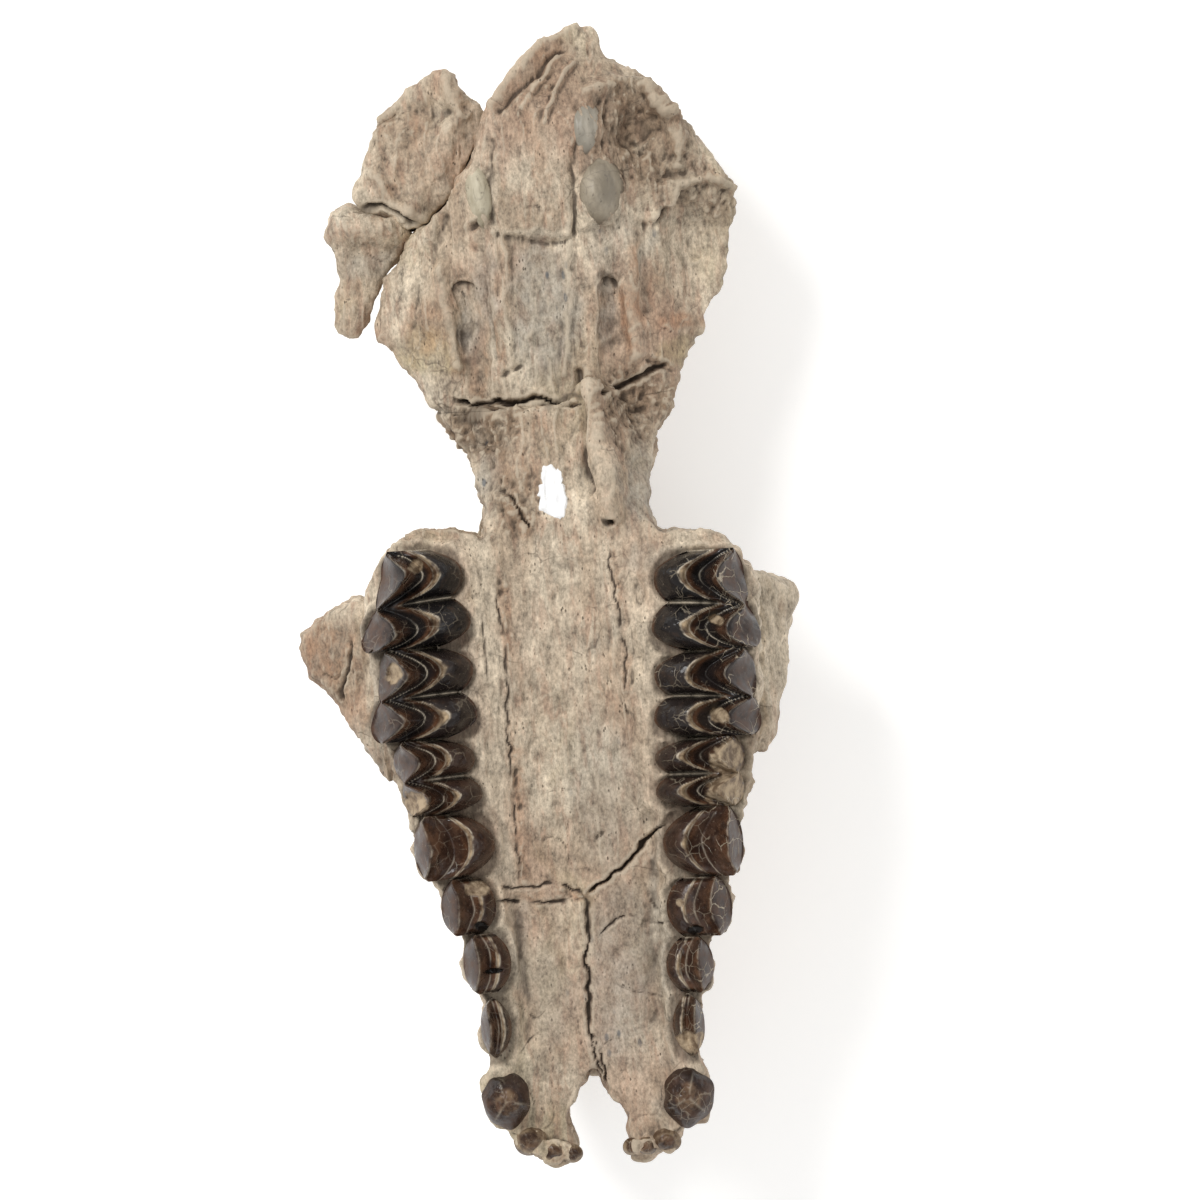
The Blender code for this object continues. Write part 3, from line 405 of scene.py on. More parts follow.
def grid_faces(rows, columns, ring=False):
    """Faces of a grid of points, row by row; a ring's last column joins its first."""
    faces = []
    for row in range(0, (rows - 1) * columns, columns):
        for column in range(columns if ring else columns - 1):
            other = (column + 1) % columns
            faces.append((row + column, row + other, row + columns + other, row + columns + column))
    return faces


def turned(centre, x, y, turn):
    """Places turned about a centre that they are measured from."""
    return (centre[0] + x * math.cos(turn) - y * math.sin(turn),
            centre[1] + x * math.sin(turn) + y * math.cos(turn))


def settle(thing):
    """Keeps the evaluated mesh and drops the modifiers."""
    evaluated = thing.evaluated_get(bpy.context.evaluated_depsgraph_get())
    mesh = bpy.data.meshes.new_from_object(evaluated)
    old = thing.data
    thing.modifiers.clear()
    thing.data = mesh
    mesh.name = thing.name
    if old.users == 0:
        bpy.data.meshes.remove(old)


def relax(values, edges, passes, share=0.5):
    """Moves each vertex's values towards its neighbours' average."""
    count = len(values)
    links = np.bincount(edges.ravel(), minlength=count).astype(float)
    links[links == 0] = 1
    near, far = edges.T
    for step in range(passes):
        total = [np.bincount(near, column[far], count) + np.bincount(far, column[near], count)
                 for column in values.T]
        values = values + share * (np.stack(total, -1) / links[:, None] - values)
    return values


def remember(mesh):
    """Marks every vertex, so that a cut bone still knows where its surface comes from."""
    layer = mesh.attributes.new("origin", "INT", "POINT")
    layer.data.foreach_set("value", np.arange(1, len(mesh.vertices) + 1, dtype=np.int32))
    tree = KDTree(len(mesh.vertices))
    for index, vertex in enumerate(mesh.vertices):
        tree.insert(vertex.co, index)
    tree.balance()
    return {"tree": tree, "points": get_points(mesh), "normals": get_normals(mesh)}


def carry_over(mesh, whole, masks):
    """Gives a cut bone the masks and the shading of the whole skull, so that no seam shows."""
    source = np.empty(len(mesh.vertices), dtype=np.int32)
    mesh.attributes["origin"].data.foreach_get("value", source)
    source = np.clip(source - 1, 0, len(whole["points"]) - 1)
    points = get_points(mesh)
    moved = np.abs(whole["points"][source] - points).max(1) > 1e-7
    for index in np.nonzero(moved)[0]:
        source[index] = whole["tree"].find(points[index])[1]
    for name, values in masks.items():
        put_mask(mesh, name, values[source])
    mesh.attributes.remove(mesh.attributes["origin"])
    mesh.shade_smooth()
    mesh.normals_split_custom_set_from_vertices(whole["normals"][source].tolist())


def finish_piece(thing, material, nodes=()):
    """Gives a piece its material, hangs it from the skull's root and hides the solids that it takes the place
    of.
    """
    thing.data.materials.clear()
    thing.data.materials.append(material)
    thing.data.shade_smooth()
    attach(thing, "root")
    if nodes:
        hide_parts(*nodes)


# ---------------------------------------------------------------- shader parts


class Nodes:
    """Short names for the steps that a material or a node group is made of."""

    def __init__(self, tree):
        self.tree = tree

    def put(self, target, value):
        """Links an output to a socket, or sets the socket's own value."""
        if isinstance(value, bpy.types.NodeSocket):
            self.tree.links.new(value, target)
        elif target.type == "RGBA" and hasattr(value, "__len__"):
            target.default_value = (*value, 1.0)
        else:
            target.default_value = value

    def add(self, kind, inputs, **options):
        """New shader node with its options, and with inputs given by name or number."""
        node = self.tree.nodes.new("ShaderNode" + kind)
        for name, value in options.items():
            setattr(node, name, value)
        for key, value in inputs.items():
            self.put(node.inputs[key], value)
        return node

    def maths(self, kind, *values):
        """One step of arithmetic."""
        return self.add("Math", dict(enumerate(values)), operation=kind).outputs[0]

    def times(self, first, second):
        """Product of two values."""
        return self.maths("MULTIPLY", first, second)

    def blend(self, share, first, second, kind="MIX"):
        """Mixes two colours."""
        return self.add("Mix", {0: share, 6: first, 7: second}, data_type="RGBA", blend_type=kind,
                        clamp_factor=True).outputs[2]

    def cover(self, colour, *layers):
        """Lays colours over one another, each as strongly as its share says."""
        for share, over in layers:
            colour = self.blend(share, colour, over)
        return colour

    def ramp(self, value, low, high, start=0.0, end=1.0):
        """Spreads the values between low and high over start to end."""
        inputs = dict(enumerate((value, low, high, start, end)))
        return self.add("MapRange", inputs, interpolation_type="SMOOTHSTEP").outputs[0]

    def painted(self, name):
        """A mask that the mesh carries."""
        return self.add("Attribute", {}, attribute_name=name).outputs["Fac"]

    def stretched(self, scale):
        """Places on the object, in metres, stretched along the axes."""
        place = self.add("TexCoord", {}).outputs["Object"]
        return self.add("Mapping", {"Vector": place, "Scale": scale}).outputs["Vector"]

    def cloud(self, stretch, scale, detail=4.0, roughness=0.6, distortion=0.0):
        """Soft noise."""
        inputs = {"Vector": self.stretched(stretch), "Scale": scale, "Detail": detail,
                  "Roughness": roughness, "Distortion": distortion}
        return self.add("TexNoise", inputs).outputs["Fac"]

    def dots(self, stretch, scale, rim, core):
        """Round spots in the cells of a pattern."""
        cells = self.add("TexVoronoi", {"Vector": self.stretched(stretch), "Scale": scale})
        return self.ramp(cells.outputs["Distance"], rim, core)

    def cracks(self, scale, width):
        """Mask of thin branching cracks."""
        return self.add("Group", {"Scale": scale, "Width": width}, node_tree=craze_group()).outputs["Mask"]

    def dress(self, shader, colour, roughness, height, depth, specular=0.5):
        """Gives a shader its colour, its gloss and the relief that is too fine for the mesh."""
        bump = self.add("Bump", {"Distance": depth, "Strength": 1.0, "Height": height})
        for name, value in (("Base Color", colour), ("Roughness", roughness),
                            ("Specular IOR Level", specular), ("Normal", bump.outputs["Normal"])):
            self.put(shader.inputs[name], value)


def new_group(name, inputs, outputs):
    """Empty node group with named sockets, and its two end nodes."""
    tree = bpy.data.node_groups.new(name, "ShaderNodeTree")
    for label, default in inputs.items():
        kind = "NodeSocketColor" if hasattr(default, "__len__") else "NodeSocketFloat"
        made = tree.interface.new_socket(label, in_out="INPUT", socket_type=kind)
        made.default_value = (*default, 1.0) if hasattr(default, "__len__") else default
    for label in outputs:
        kind = "NodeSocketColor" if label == "Color" else "NodeSocketFloat"
        tree.interface.new_socket(label, in_out="OUTPUT", socket_type=kind)
    return Nodes(tree), tree.nodes.new("NodeGroupInput").outputs, tree.nodes.new("NodeGroupOutput").inputs


# The darkest colour is dirt in the pores and hairline cracks, and painted shade in hollows, cracks, pits and
# beside the teeth.
BONE_COLOURS = {
    "Bone": (0.34, 0.262, 0.185), "Pale": (0.50, 0.42, 0.315), "Pink": (0.31, 0.195, 0.132),
    "Grey": (0.25, 0.238, 0.205), "Matrix": (0.15, 0.10, 0.062), "Rust": (0.27, 0.135, 0.070),
    "Olive": (0.30, 0.245, 0.13), "Dirt_and_shade": (0.045, 0.030, 0.020), "Speck": (0.05, 0.07, 0.09),
}
STAIN_STRENGTHS = {"Grey": 0.85, "Olive": 0.8, "Rust": 0.8, "Matrix": 0.95}


def bone_group():
    """Colour, roughness and relief of dry fossil bone with its stains, and painted shade in its hollows,
    cracks and pits.
    """
    ready = bpy.data.node_groups.get("fossil bone surface")
    if ready:
        return ready
    nodes, given, end = new_group("fossil bone surface", BONE_COLOURS, ("Color", "Roughness", "Height"))
    lengthwise = nodes.cloud((1, 0.22, 0.5), 560, 6.0, 0.66, 0.6)
    threads = nodes.cloud((1, 0.20, 0.4), 1200, 4.0, 0.6, 0.8)
    wide = nodes.cloud((1, 0.7, 1), 36, 3.0, 0.55)
    tint = nodes.cloud((0.8, 0.5, 1), 52, 4.0, 0.6, 0.3)
    broad = nodes.cloud((1, 0.4, 0.7), 95, 5.0, 0.6, 0.4)
    mottle = nodes.cloud((1, 0.7, 1), 330, 6.0, 0.65)
    fine = nodes.cloud((1, 0.6, 1), 1900, 3.0, 0.7)
    pit = nodes.times(nodes.dots((1, 0.45, 1), 1500.0, 0.30, 0.10), nodes.ramp(mottle, 0.52, 0.66))
    speck = nodes.times(nodes.dots((1, 0.5, 1), 420.0, 0.24, 0.12), nodes.painted("grey"))
    splits = nodes.times(nodes.cracks(105.0, 0.022), nodes.ramp(tint, 0.44, 0.60, 0.0, 0.55))
    blotch = nodes.ramp(mottle, 0.35, 0.62, 0.45, 1.0)
    shade = nodes.maths("MULTIPLY_ADD", mottle, 2.0, -1.21)
    shade = nodes.maths("MULTIPLY_ADD", fine, 1.9, shade)
    shade = nodes.maths("MULTIPLY_ADD", threads, 0.6, shade)

    colour = nodes.blend(nodes.ramp(broad, 0.38, 0.62), given["Bone"], given["Pale"])
    colour = nodes.cover(
        colour, (nodes.ramp(wide, 0.48, 0.66, 0.0, 0.55), given["Pink"]),
        (nodes.ramp(tint, 0.52, 0.70, 0.0, 0.50), given["Grey"]),
        (nodes.ramp(tint, 0.44, 0.30, 0.0, 0.35), given["Olive"]),
        (nodes.times(nodes.ramp(lengthwise, 0.47, 0.66), 0.60), given["Pink"]),
        (nodes.times(nodes.painted("pale"), 0.85), given["Pale"]))
    for name, strength in STAIN_STRENGTHS.items():
        share = nodes.times(nodes.times(nodes.painted(name.lower()), blotch), strength)
        colour = nodes.blend(share, colour, given[name])
    colour = nodes.blend(1.0, colour, shade, "MULTIPLY")
    # Convex places turn paler as worn bone. Concave places take the darkest colour as dirt and painted shade.
    # The dark mask is painted shade.
    colour = nodes.cover(
        colour, (nodes.ramp(nodes.painted("cavity"), -0.08, -0.7, 0.0, 0.60), given["Pale"]),
        (nodes.ramp(nodes.painted("cavity"), 0.02, 0.85, 0.0, 0.85), given["Dirt_and_shade"]),
        (nodes.times(pit, 0.75), given["Dirt_and_shade"]), (splits, given["Dirt_and_shade"]),
        (nodes.times(speck, nodes.ramp(broad, 0.48, 0.56)), given["Speck"]),
        (nodes.painted("dark"), given["Dirt_and_shade"]))
    nodes.put(end["Color"], colour)

    dull = nodes.ramp(mottle, 0.3, 0.7, 0.78, 0.62)
    nodes.put(end["Roughness"], nodes.maths("ADD", dull, nodes.times(nodes.painted("matrix"), 0.18)))
    height = nodes.maths("MULTIPLY_ADD", lengthwise, 0.6, nodes.times(mottle, 0.5))
    height = nodes.maths("MULTIPLY_ADD", fine, 0.25, height)
    nodes.put(end["Height"], nodes.maths("SUBTRACT", height, nodes.times(pit, 0.6)))
    return nodes.tree


def craze_group():
    """Thin branching cracks, as a mask between 0 and 1."""
    ready = bpy.data.node_groups.get("hairline cracks")
    if ready:
        return ready
    nodes, given, end = new_group("hairline cracks", {"Scale": 300.0, "Width": 0.03}, ("Mask",))
    stretch, push = (1, 1, 0.6), (0.0016, 0.0016, 0.0016)
    place = nodes.stretched(stretch)
    away = nodes.add("TexNoise", {"Vector": place, "Scale": 420.0, "Detail": 3.0}).outputs["Color"]
    moved = nodes.add("VectorMath", {0: away, 1: push, 2: place}, operation="MULTIPLY_ADD").outputs[0]
    cells = nodes.add("TexVoronoi", {"Vector": moved, "Scale": given["Scale"]}, feature="DISTANCE_TO_EDGE")
    gate = nodes.ramp(nodes.cloud(stretch, 160, 2.0), 0.47, 0.56)
    nodes.put(end["Mask"], nodes.times(nodes.ramp(cells.outputs["Distance"], given["Width"], 0.0), gate))
    return nodes.tree


def new_material(name):
    """Material with only its shader and output."""
    material = bpy.data.materials.new(name)
    material.use_nodes = True
    tree = material.node_tree
    shader = next(node for node in tree.nodes if node.type == "BSDF_PRINCIPLED")
    return material, Nodes(tree), shader


def bone_material(name, settings):
    """Dry bone, the same over every seam."""
    if name in built:
        return built[name]
    material, nodes, shader = new_material("weathered_" + name)
    built[name] = material
    colours = {"Bone": tuple(settings.bone_colour), "Pale": tuple(settings.pale_colour),
               "Matrix": tuple(settings.matrix_colour)}
    surface = nodes.add("Group", colours, node_tree=bone_group())
    nodes.dress(shader, *surface.outputs, 0.00038, 0.3)
    return material


def enamel_material(name, warm, craze):
    """Dark glossy enamel with worn cream edges; warm goes from black to brown."""
    material, nodes, shader = new_material(name)
    even = (1, 1, 1)
    mottle = nodes.cloud(even, 420, 5.0, 0.6)
    broad = nodes.cloud(even, 120, 3.0, 0.5)
    fleck = nodes.ramp(nodes.cloud(even, 1500, 4.0, 0.7), 0.60, 0.74)

    def spread(low, high, first, second):
        """Goes from one colour to another as the mottling goes from low to high."""
        return nodes.blend(nodes.ramp(mottle, low, high), first, second)

    black = nodes.blend(nodes.ramp(broad, 0.3, 0.7), (0.007, 0.006, 0.006), (0.020, 0.016, 0.015))
    black = nodes.blend(nodes.ramp(mottle, 0.55, 0.75, 0.0, 0.6), black, (0.055, 0.030, 0.018))
    brown = spread(0.3, 0.7, (0.026, 0.013, 0.009), (0.070, 0.036, 0.022))
    wall = spread(0.3, 0.7, (0.020, 0.008, 0.004), (0.085, 0.044, 0.027))
    share = nodes.times(nodes.times(nodes.cracks(300.0, 0.035), nodes.painted("craze")), craze)
    colour = nodes.cover(
        nodes.blend(warm, black, brown),
        (nodes.painted("slope"), spread(0.35, 0.65, (0.026, 0.012, 0.007), (0.095, 0.044, 0.022))),
        (nodes.painted("wall"), nodes.blend(nodes.ramp(broad, 0.5, 0.7, 0.0, 0.45), wall,
                                            (0.080, 0.056, 0.044))),
        (nodes.times(fleck, 0.35), (0.42, 0.34, 0.25)),
        (nodes.painted("matrix"), spread(0.35, 0.65, (0.13, 0.085, 0.05), (0.42, 0.32, 0.21))),
        (nodes.painted("dentine"), spread(0.36, 0.62, (0.10, 0.055, 0.028), (0.42, 0.31, 0.19))),
        (nodes.painted("line"), (0.66, 0.57, 0.44)), (share, (0.62, 0.52, 0.38)),
        (nodes.painted("dark"), (0.008, 0.006, 0.005)))
    dry = nodes.maths("MAXIMUM", nodes.painted("dentine"), nodes.painted("matrix"))
    gloss = nodes.maths("MULTIPLY_ADD", nodes.painted("wall"), 0.22, nodes.ramp(mottle, 0.3, 0.7, 0.13, 0.36))
    gloss = nodes.maths("MULTIPLY_ADD", dry, 0.42, gloss)
    height = nodes.maths("MULTIPLY_ADD", mottle, nodes.maths("MULTIPLY_ADD", dry, 1.2, 0.45), share)
    nodes.dress(shader, colour, gloss, height, 0.00022, 0.26)
    return material


# ---------------------------------------------------------------- settings


def length_setting(name, description, default, low, high, precision):
    """Setting for a length in metres."""
    return FloatProperty(name=name, description=description, default=default, min=low, max=high,
                         unit="LENGTH", precision=precision)


def colour_setting(name, description, default):
    """Setting for a colour."""
    return FloatVectorProperty(name=name, description=description, subtype="COLOR", default=default,
                               min=0, max=1)


class BoneSettings(bpy.types.PropertyGroup):
    """Sizes and colours of the bones."""
    voxel: length_setting("Detail size", "Size of the smallest form in a bone's mesh",
                          0.0004, 0.0002, 0.002, 5)
    grain: length_setting("Grain depth", "Depth of the lengthwise grain in the bone", 0.00014, 0.0, 0.001, 5)
    bone_colour: colour_setting("Bone", "Main colour of the bone", BONE_COLOURS["Bone"])
    pale_colour: colour_setting("Pale bone", "Colour of worn, clean bone", BONE_COLOURS["Pale"])
    matrix_colour: colour_setting("Matrix", "Colour of the rock left in the hollows", BONE_COLOURS["Matrix"])


class ToothSettings(bpy.types.PropertyGroup):
    """Sizes of the teeth."""
    root: length_setting("Root depth", "How far each tooth reaches into its bone", 0.0035, 0.001, 0.008, 4)
    cell: length_setting("Crown detail", "Size of one face of a crown's mesh", 0.0002, 0.0001, 0.001, 5)


class StageSettings(bpy.types.PropertyGroup):
    """Floor, light and camera."""
    floor_colour: colour_setting("Floor", "Colour of the floor", (0.93, 0.93, 0.92))
    distance: length_setting("Camera height", "Height of the camera above the floor", 1.56, 0.3, 5.0, 2)


# ---------------------------------------------------------------- bones

FACE, BASE = 12.0, 24.0    # levels of the seams under the face and under the skull base
LOW, HIGH = -20, 90        # levels below and above the whole skull
WIDE, FRONT, BACK = 60, -120, 125    # places beside, before and behind the whole skull
WAIST, REAR = 12, 96       # seams behind the palate and in front of the occiput
SEAM = [(-40, 37.0), (-22, 37.0), (-4, 36.2), (2.2, 36.6), (4.4, 38.6), (6.6, 41.0), (8.6, 41.6),
        (10.6, 41.0), (12.8, 38.8), (15, 37.4), (25, 38.4), (40, 38.4)]


def slope(y):
    """Height of the seam between the waist and the forehead under it."""
    return FACE + 0.48 * (y - WAIST)


def prism(name, outline, low, high, split=0):
    """Closed cutter over an outline; its roof has a crease from the point split to the last one."""
    count = len(outline)
    points = [(x, y, level(y) if callable(level) else level) for level in (low, high) for x, y in outline]
    roof = list(range(count, 2 * count))
    parts = [roof[:split + 1] + roof[-1:], roof[split:]] if split else [roof]
    faces = [tuple(range(count))] + [tuple(reversed(part)) for part in parts]
    faces += [(k, (k + 1) % count, (k + 1) % count + count, k + count) for k in range(count)]
    cutter = new_object(name, to_part(points), faces)
    outward(cutter.data)
    return cutter


def bone_outlines():
    """Outline and levels of every bone that is cut out of the joined skull."""
    left, right = (-20.15, 37.0), (20.15, 38.0)
    inner = [point for point in SEAM if -20.1 < point[0] < 20.1]
    waist = [(-WIDE, 37.0)] + SEAM[1:-1] + [(WIDE, 38.4)]
    cheek_left = [(-33.6, -31.6), (-35.6, -20), (-37.15, 0), (-36.7, 4)]
    cheek_right = [(34.9, -30.6), (36.15, -20), (37.35, 0), (36.4, 4)]
    snout_left = [(0, -89), (-10.7, -89), (-10.7, -99.4), (-WIDE, -99.4)]
    snout_right = [(0, -89), (11.5, -89), (11.5, -101.3), (WIDE, -101.3)]
    step = [(-14.2, WAIST), (-14.2, 18), (-WIDE, 18)]
    face = {
        "maxilla_left": snout_left[::-1] + [(0, WAIST)] + step + [(-WIDE, 11)] + cheek_left[::-1]
        + [(-WIDE, -40)],
        "maxilla_right": snout_right[::-1] + [(0, WAIST), (WIDE, WAIST), (WIDE, 11)] + cheek_right[::-1]
        + [(WIDE, -40)],
        "premaxilla_left": [(-WIDE, FRONT), (0, FRONT)] + snout_left,
        "premaxilla_right": [(WIDE, FRONT), (0, FRONT)] + snout_right,
        "jugal_left": [(-WIDE, -40)] + cheek_left + [(-WIDE, 11)],
        "jugal_right": [(WIDE, -40)] + cheek_right + [(WIDE, 11)],
    }
    return {
        **{name: (outline, FACE, HIGH) for name, outline in face.items()},
        "nasals": ([(-WIDE, FRONT), (WIDE, FRONT), (WIDE, -38), (-WIDE, -38)], LOW, FACE),
        "frontal": ([(-WIDE, -38), (WIDE, -38), (WIDE, WAIST)] + waist[::-1] + [(-WIDE, WAIST)], LOW,
                    lambda y: max(FACE, slope(y)), 2),
        "sphenoid": ([(-14.2, WAIST), (WIDE, WAIST)] + waist[::-1] + [(-WIDE, 18), (-14.2, 18)], slope, HIGH),
        "skull_base": ([left] + inner + [right, (20.15, REAR), (-20.15, REAR)], BASE, HIGH),
        "squamosal_left": ([(-WIDE, 37), (-22, 37), left, (-20.15, REAR), (-WIDE, REAR)], BASE, HIGH),
        "squamosal_right": ([(WIDE, 38.4), (25, 38.4), right, (20.15, REAR), (WIDE, REAR)], BASE, HIGH),
        "braincase": (waist + [(WIDE, REAR), (-WIDE, REAR)], LOW, BASE),
        "occiput": ([(-WIDE, REAR), (WIDE, REAR), (WIDE, BACK), (-WIDE, BACK)], LOW, HIGH),
    }


SOCKET_RIM = 3.3       # how far the rims of the sockets stand above the middle of the palate


def packed_surface(names, swell):
    """The named solids in one mesh, swollen a little, without the crowns of the teeth."""
    points, faces, start = [], [], 0
    for name in names:
        mesh = frame["nodes"][name].data
        body = bmesh.new()
        body.from_mesh(mesh)
        bmesh.ops.remove_doubles(body, verts=body.verts, dist=1e-6)
        bmesh.ops.recalc_face_normals(body, faces=body.faces)
        body.normal_update()
        place = to_skull([vertex.co for vertex in body.verts])
        lean = np.array([vertex.normal for vertex in body.verts])
        if "maxilla" in name:
            place[:, 2] = np.minimum(place[:, 2], palate_height(place[:, 1]) + SOCKET_RIM)
        place = place + lean * swell
        if "premaxilla" in name:
            place[:, 0] += np.sign(place[:, 0]) * 1.1 * hill(np.abs(place[:, 0]) - 3.5, 2.5)
        points.append(place)
        faces += [tuple(vertex.index + start for vertex in face.verts) for face in body.faces]
        start += len(place)
        body.free()
    return np.vstack(points), faces


SWELL = 0.28           # how far the joined bones are swollen, so that their gaps close
LOOSE_SWELL = 0.35
LOOSE = ("mastoid_plate_left", "zygomatic_root_left")
RELAX_AREA = 14 * 0.00045 ** 2    # passes of smoothing times the area of one voxel's face
LOWEST = 0.02


def weather(thing, settings, swell, seed):
    """Remeshes a body finely and gives it the relief of weathered bone."""
    voxel = settings.voxel * 1.0
    remesh = thing.modifiers.new("remesh", "REMESH")
    remesh.mode = "VOXEL"
    remesh.voxel_size = voxel
    settle(thing)
    mesh = thing.data
    edges = read_rows(mesh.edges, "vertices", 2, np.int64)
    points = relax(get_points(mesh), edges, int(round(RELAX_AREA / voxel ** 2)))
    set_points(mesh, points)
    points = to_skull(points) - get_normals(mesh) * swell
    lean = get_normals(mesh)
    up = smooth(lean[:, 2], 0.15, 0.7)
    masks = stain_and_shade_masks(points)
    strip = crumbs(points) * smooth(points[:, 2], 40, 45)
    masks["rust"] = np.maximum(masks["rust"], 0.55 * strip)
    broken = np.clip(masks["matrix"] * 1.1 + 0.7 * strip, 0, 1)
    calm_front = 1 - 0.65 * smooth(points[:, 1], -40, -58)
    depth, inside = crack_depth(points)
    x, y = wander(points, 91, 0.35, (2, 2, 4))
    foot = socket_distance(x, y)
    beside = np.clip(foot, 0, None)
    collar = hill(foot - 0.7, 0.9)
    crevice = hill(beside, 0.30)
    shift = up * (upper_relief(points) - depth + 0.8 * collar - 0.3 * crevice)
    shift += 0.42 * rough(points, (5.5, 8.5, 5.5), 51 + seed) * (0.5 + 0.5 * up)
    crease = 1 - np.abs(rough(points, (3.0, 11.0, 5.0), 55 + seed, 2)) * 3.2
    shift += 0.38 * np.clip(crease, 0, 1) ** 2 * (0.4 + 0.6 * up) * calm_front
    split = 1 - np.abs(noise(points, (5.0, 8.0, 6.0), 58 + seed)) * 16
    shift -= 0.30 * np.clip(split, 0, 1) * smooth(noise(points, (14, 14, 14), 59 + seed), 0.0, 0.3)
    sway = points + np.stack([1.2 * noise(points, (9, 12, 9), 63 + seed), 0 * depth, 0 * depth], -1)
    grain = rough(sway, (1.1, 5.5, 4.0), 61 + seed)
    shift += settings.grain / MM * (1 - 0.4 * broken) * calm_front * grain
    shift += (0.12 + 0.60 * broken) * rough(points, (2.0, 2.2, 2.0), 71 + seed)
    shift += (0.07 + 0.12 * broken) * rough(points, (0.9, 1.2, 0.9), 75 + seed, 2)
    jag = rough(points, (4.5, 4.5, 7.0), 81 + seed, 2)
    jag = jag - 0.8 * np.abs(noise(points, (2.2, 2.2, 5.0), 85 + seed))
    shift += (1 - up) * (0.85 * jag + 0.25)
    points = points + lean * shift[:, None]
    points[:, 2] = np.maximum(points[:, 2], LOWEST)
    set_points(mesh, to_part(points))
    calm = relax(points, edges, 10)
    # Concavity: the bone's material paints it darker as dirt and painted shade, and paler where convex as
    # wear. There is less of it near the teeth.
    cavity = np.clip(np.einsum("ij,ij->i", calm - points, get_normals(mesh)) / 0.35, -1, 1)
    masks["cavity"] = cavity * (1 - 0.75 * hill(beside, 1.6))
    # Painted shade inside the cracks and in a thin line where the bone meets a tooth.
    dark = np.maximum(inside * 0.9, 0.55 * hill(beside, 0.20))
    masks["dark"] = np.maximum(masks["dark"], dark * up)
    masks["pale"] = np.maximum(masks["pale"], 0.5 * collar * up)
    for name, values in masks.items():
        put_mask(mesh, name, values)
    return masks


class SKULL_OT_bones(bpy.types.Operator):
    """Makes the weathered bones of the skull"""
    bl_idname = "skull.bones"
    bl_label = "Skull bones"

    def execute(self, context):
        settings = context.scene.skull_bones
        names = sorted(set(frame["nodes"]) - set(LOOSE))
        points, faces = packed_surface(names, SWELL)
        whole = new_object("whole_skull", to_part(points), faces)
        masks = weather(whole, settings, SWELL, 0)
        shell = remember(whole.data)
        slots = {item["node"]: item["material_slot"] for item in frame["record"]["subparts"]}
        outlines = bone_outlines()
        for name in names:
            cutter = prism(name + "_cutter", *outlines[name])
            piece = bpy.data.objects.new("bone_" + name, whole.data)
            context.scene.collection.objects.link(piece)
            cut = piece.modifiers.new("cut", "BOOLEAN")
            cut.operation = "INTERSECT"
            cut.solver = "MANIFOLD"
            cut.object = cutter
            settle(piece)
            bpy.data.objects.remove(cutter)
            if not piece.data.vertices:
                raise RuntimeError("the cut left nothing of " + name)
            finish_piece(piece, bone_material(slots[name], settings), [name])
            carry_over(piece.data, shell, masks)
        body = bmesh.new()
        body.from_mesh(whole.data)
        built["surface"] = BVHTree.FromBMesh(body)
        body.free()
        bpy.data.objects.remove(whole)
        return {"FINISHED"}


class SKULL_OT_plates(bpy.types.Operator):
    """Makes the two loose pieces beside the braincase"""
    bl_idname = "skull.plates"
    bl_label = "Loose pieces"

    def execute(self, context):
        settings = context.scene.skull_bones
        for seed, name in enumerate(LOOSE):
            points, faces = packed_surface([name], LOOSE_SWELL)
            piece = new_object("bone_" + name, to_part(points), faces)
            weather(piece, settings, 0.0, 200 + 20 * seed)
            finish_piece(piece, bone_material("fossil_bone", settings), [name])
        return {"FINISHED"}


# ---------------------------------------------------------------- teeth

# Cheek teeth: side, name, kind, back end, front end, lobes as (inner reach, outer reach, forward sweep)
CHEEK_TEETH = [
    ("left", "M3", "molar", 11.2, -7.2, [(18.2, 33.4, 0.4), (17.1, 37.9, 3.2)], 0.0),
    ("left", "M2", "molar", -7.2, -24.5, [(17.3, 34.9, 0.8), (17.1, 37.2, 1.4)], 0.15),
    ("left", "M1", "molar", -24.5, -38.7, [(18.2, 33.4, 0.8), (17.1, 31.8, 0.8)], 0.7),
    ("left", "P4", "premolar", -38.7, -51.0, [(15.5, 30.7, 0.4)], 0.95),
    ("left", "P3", "blade", -51.0, -61.7, [(16.1, 26.4, 0.2)], 0.8),
    ("left", "P2", "blade", -61.7, -73.0, [(14.0, 23.0, 0.0)], 0.8),
    ("left", "P1", "blade", -73.8, -85.4, [(14.8, 20.6, 0.0)], 0.4),
    ("right", "M3", "molar", 7.6, -11.1, [(17.7, 34.6, 1.0), (16.6, 37.0, 2.4)], 0.0),
    ("right", "M2", "molar", -11.1, -27.5, [(16.5, 35.5, 1.2), (15.9, 36.0, 1.4)], 0.1),
    ("right", "M1", "molar", -27.5, -40.6, [(15.6, 32.4, 0.6), (15.3, 31.9, 0.4)], 0.4),
    ("right", "P4", "premolar", -40.6, -53.7, [(16.0, 31.1, 0.4)], 0.75),
    ("right", "P3", "blade", -53.7, -64.9, [(15.9, 28.2, 0.4)], 0.8),
    ("right", "P2", "blade", -64.9, -75.5, [(15.1, 24.0, 0.0)], 0.8),
    ("right", "P1", "blade", -75.5, -87.6, [(15.6, 21.6, 0.0)], 0.5),
]
CHEEK_NAMES = ("M3", "M2", "M1", "P4", "P3", "P2", "P1")
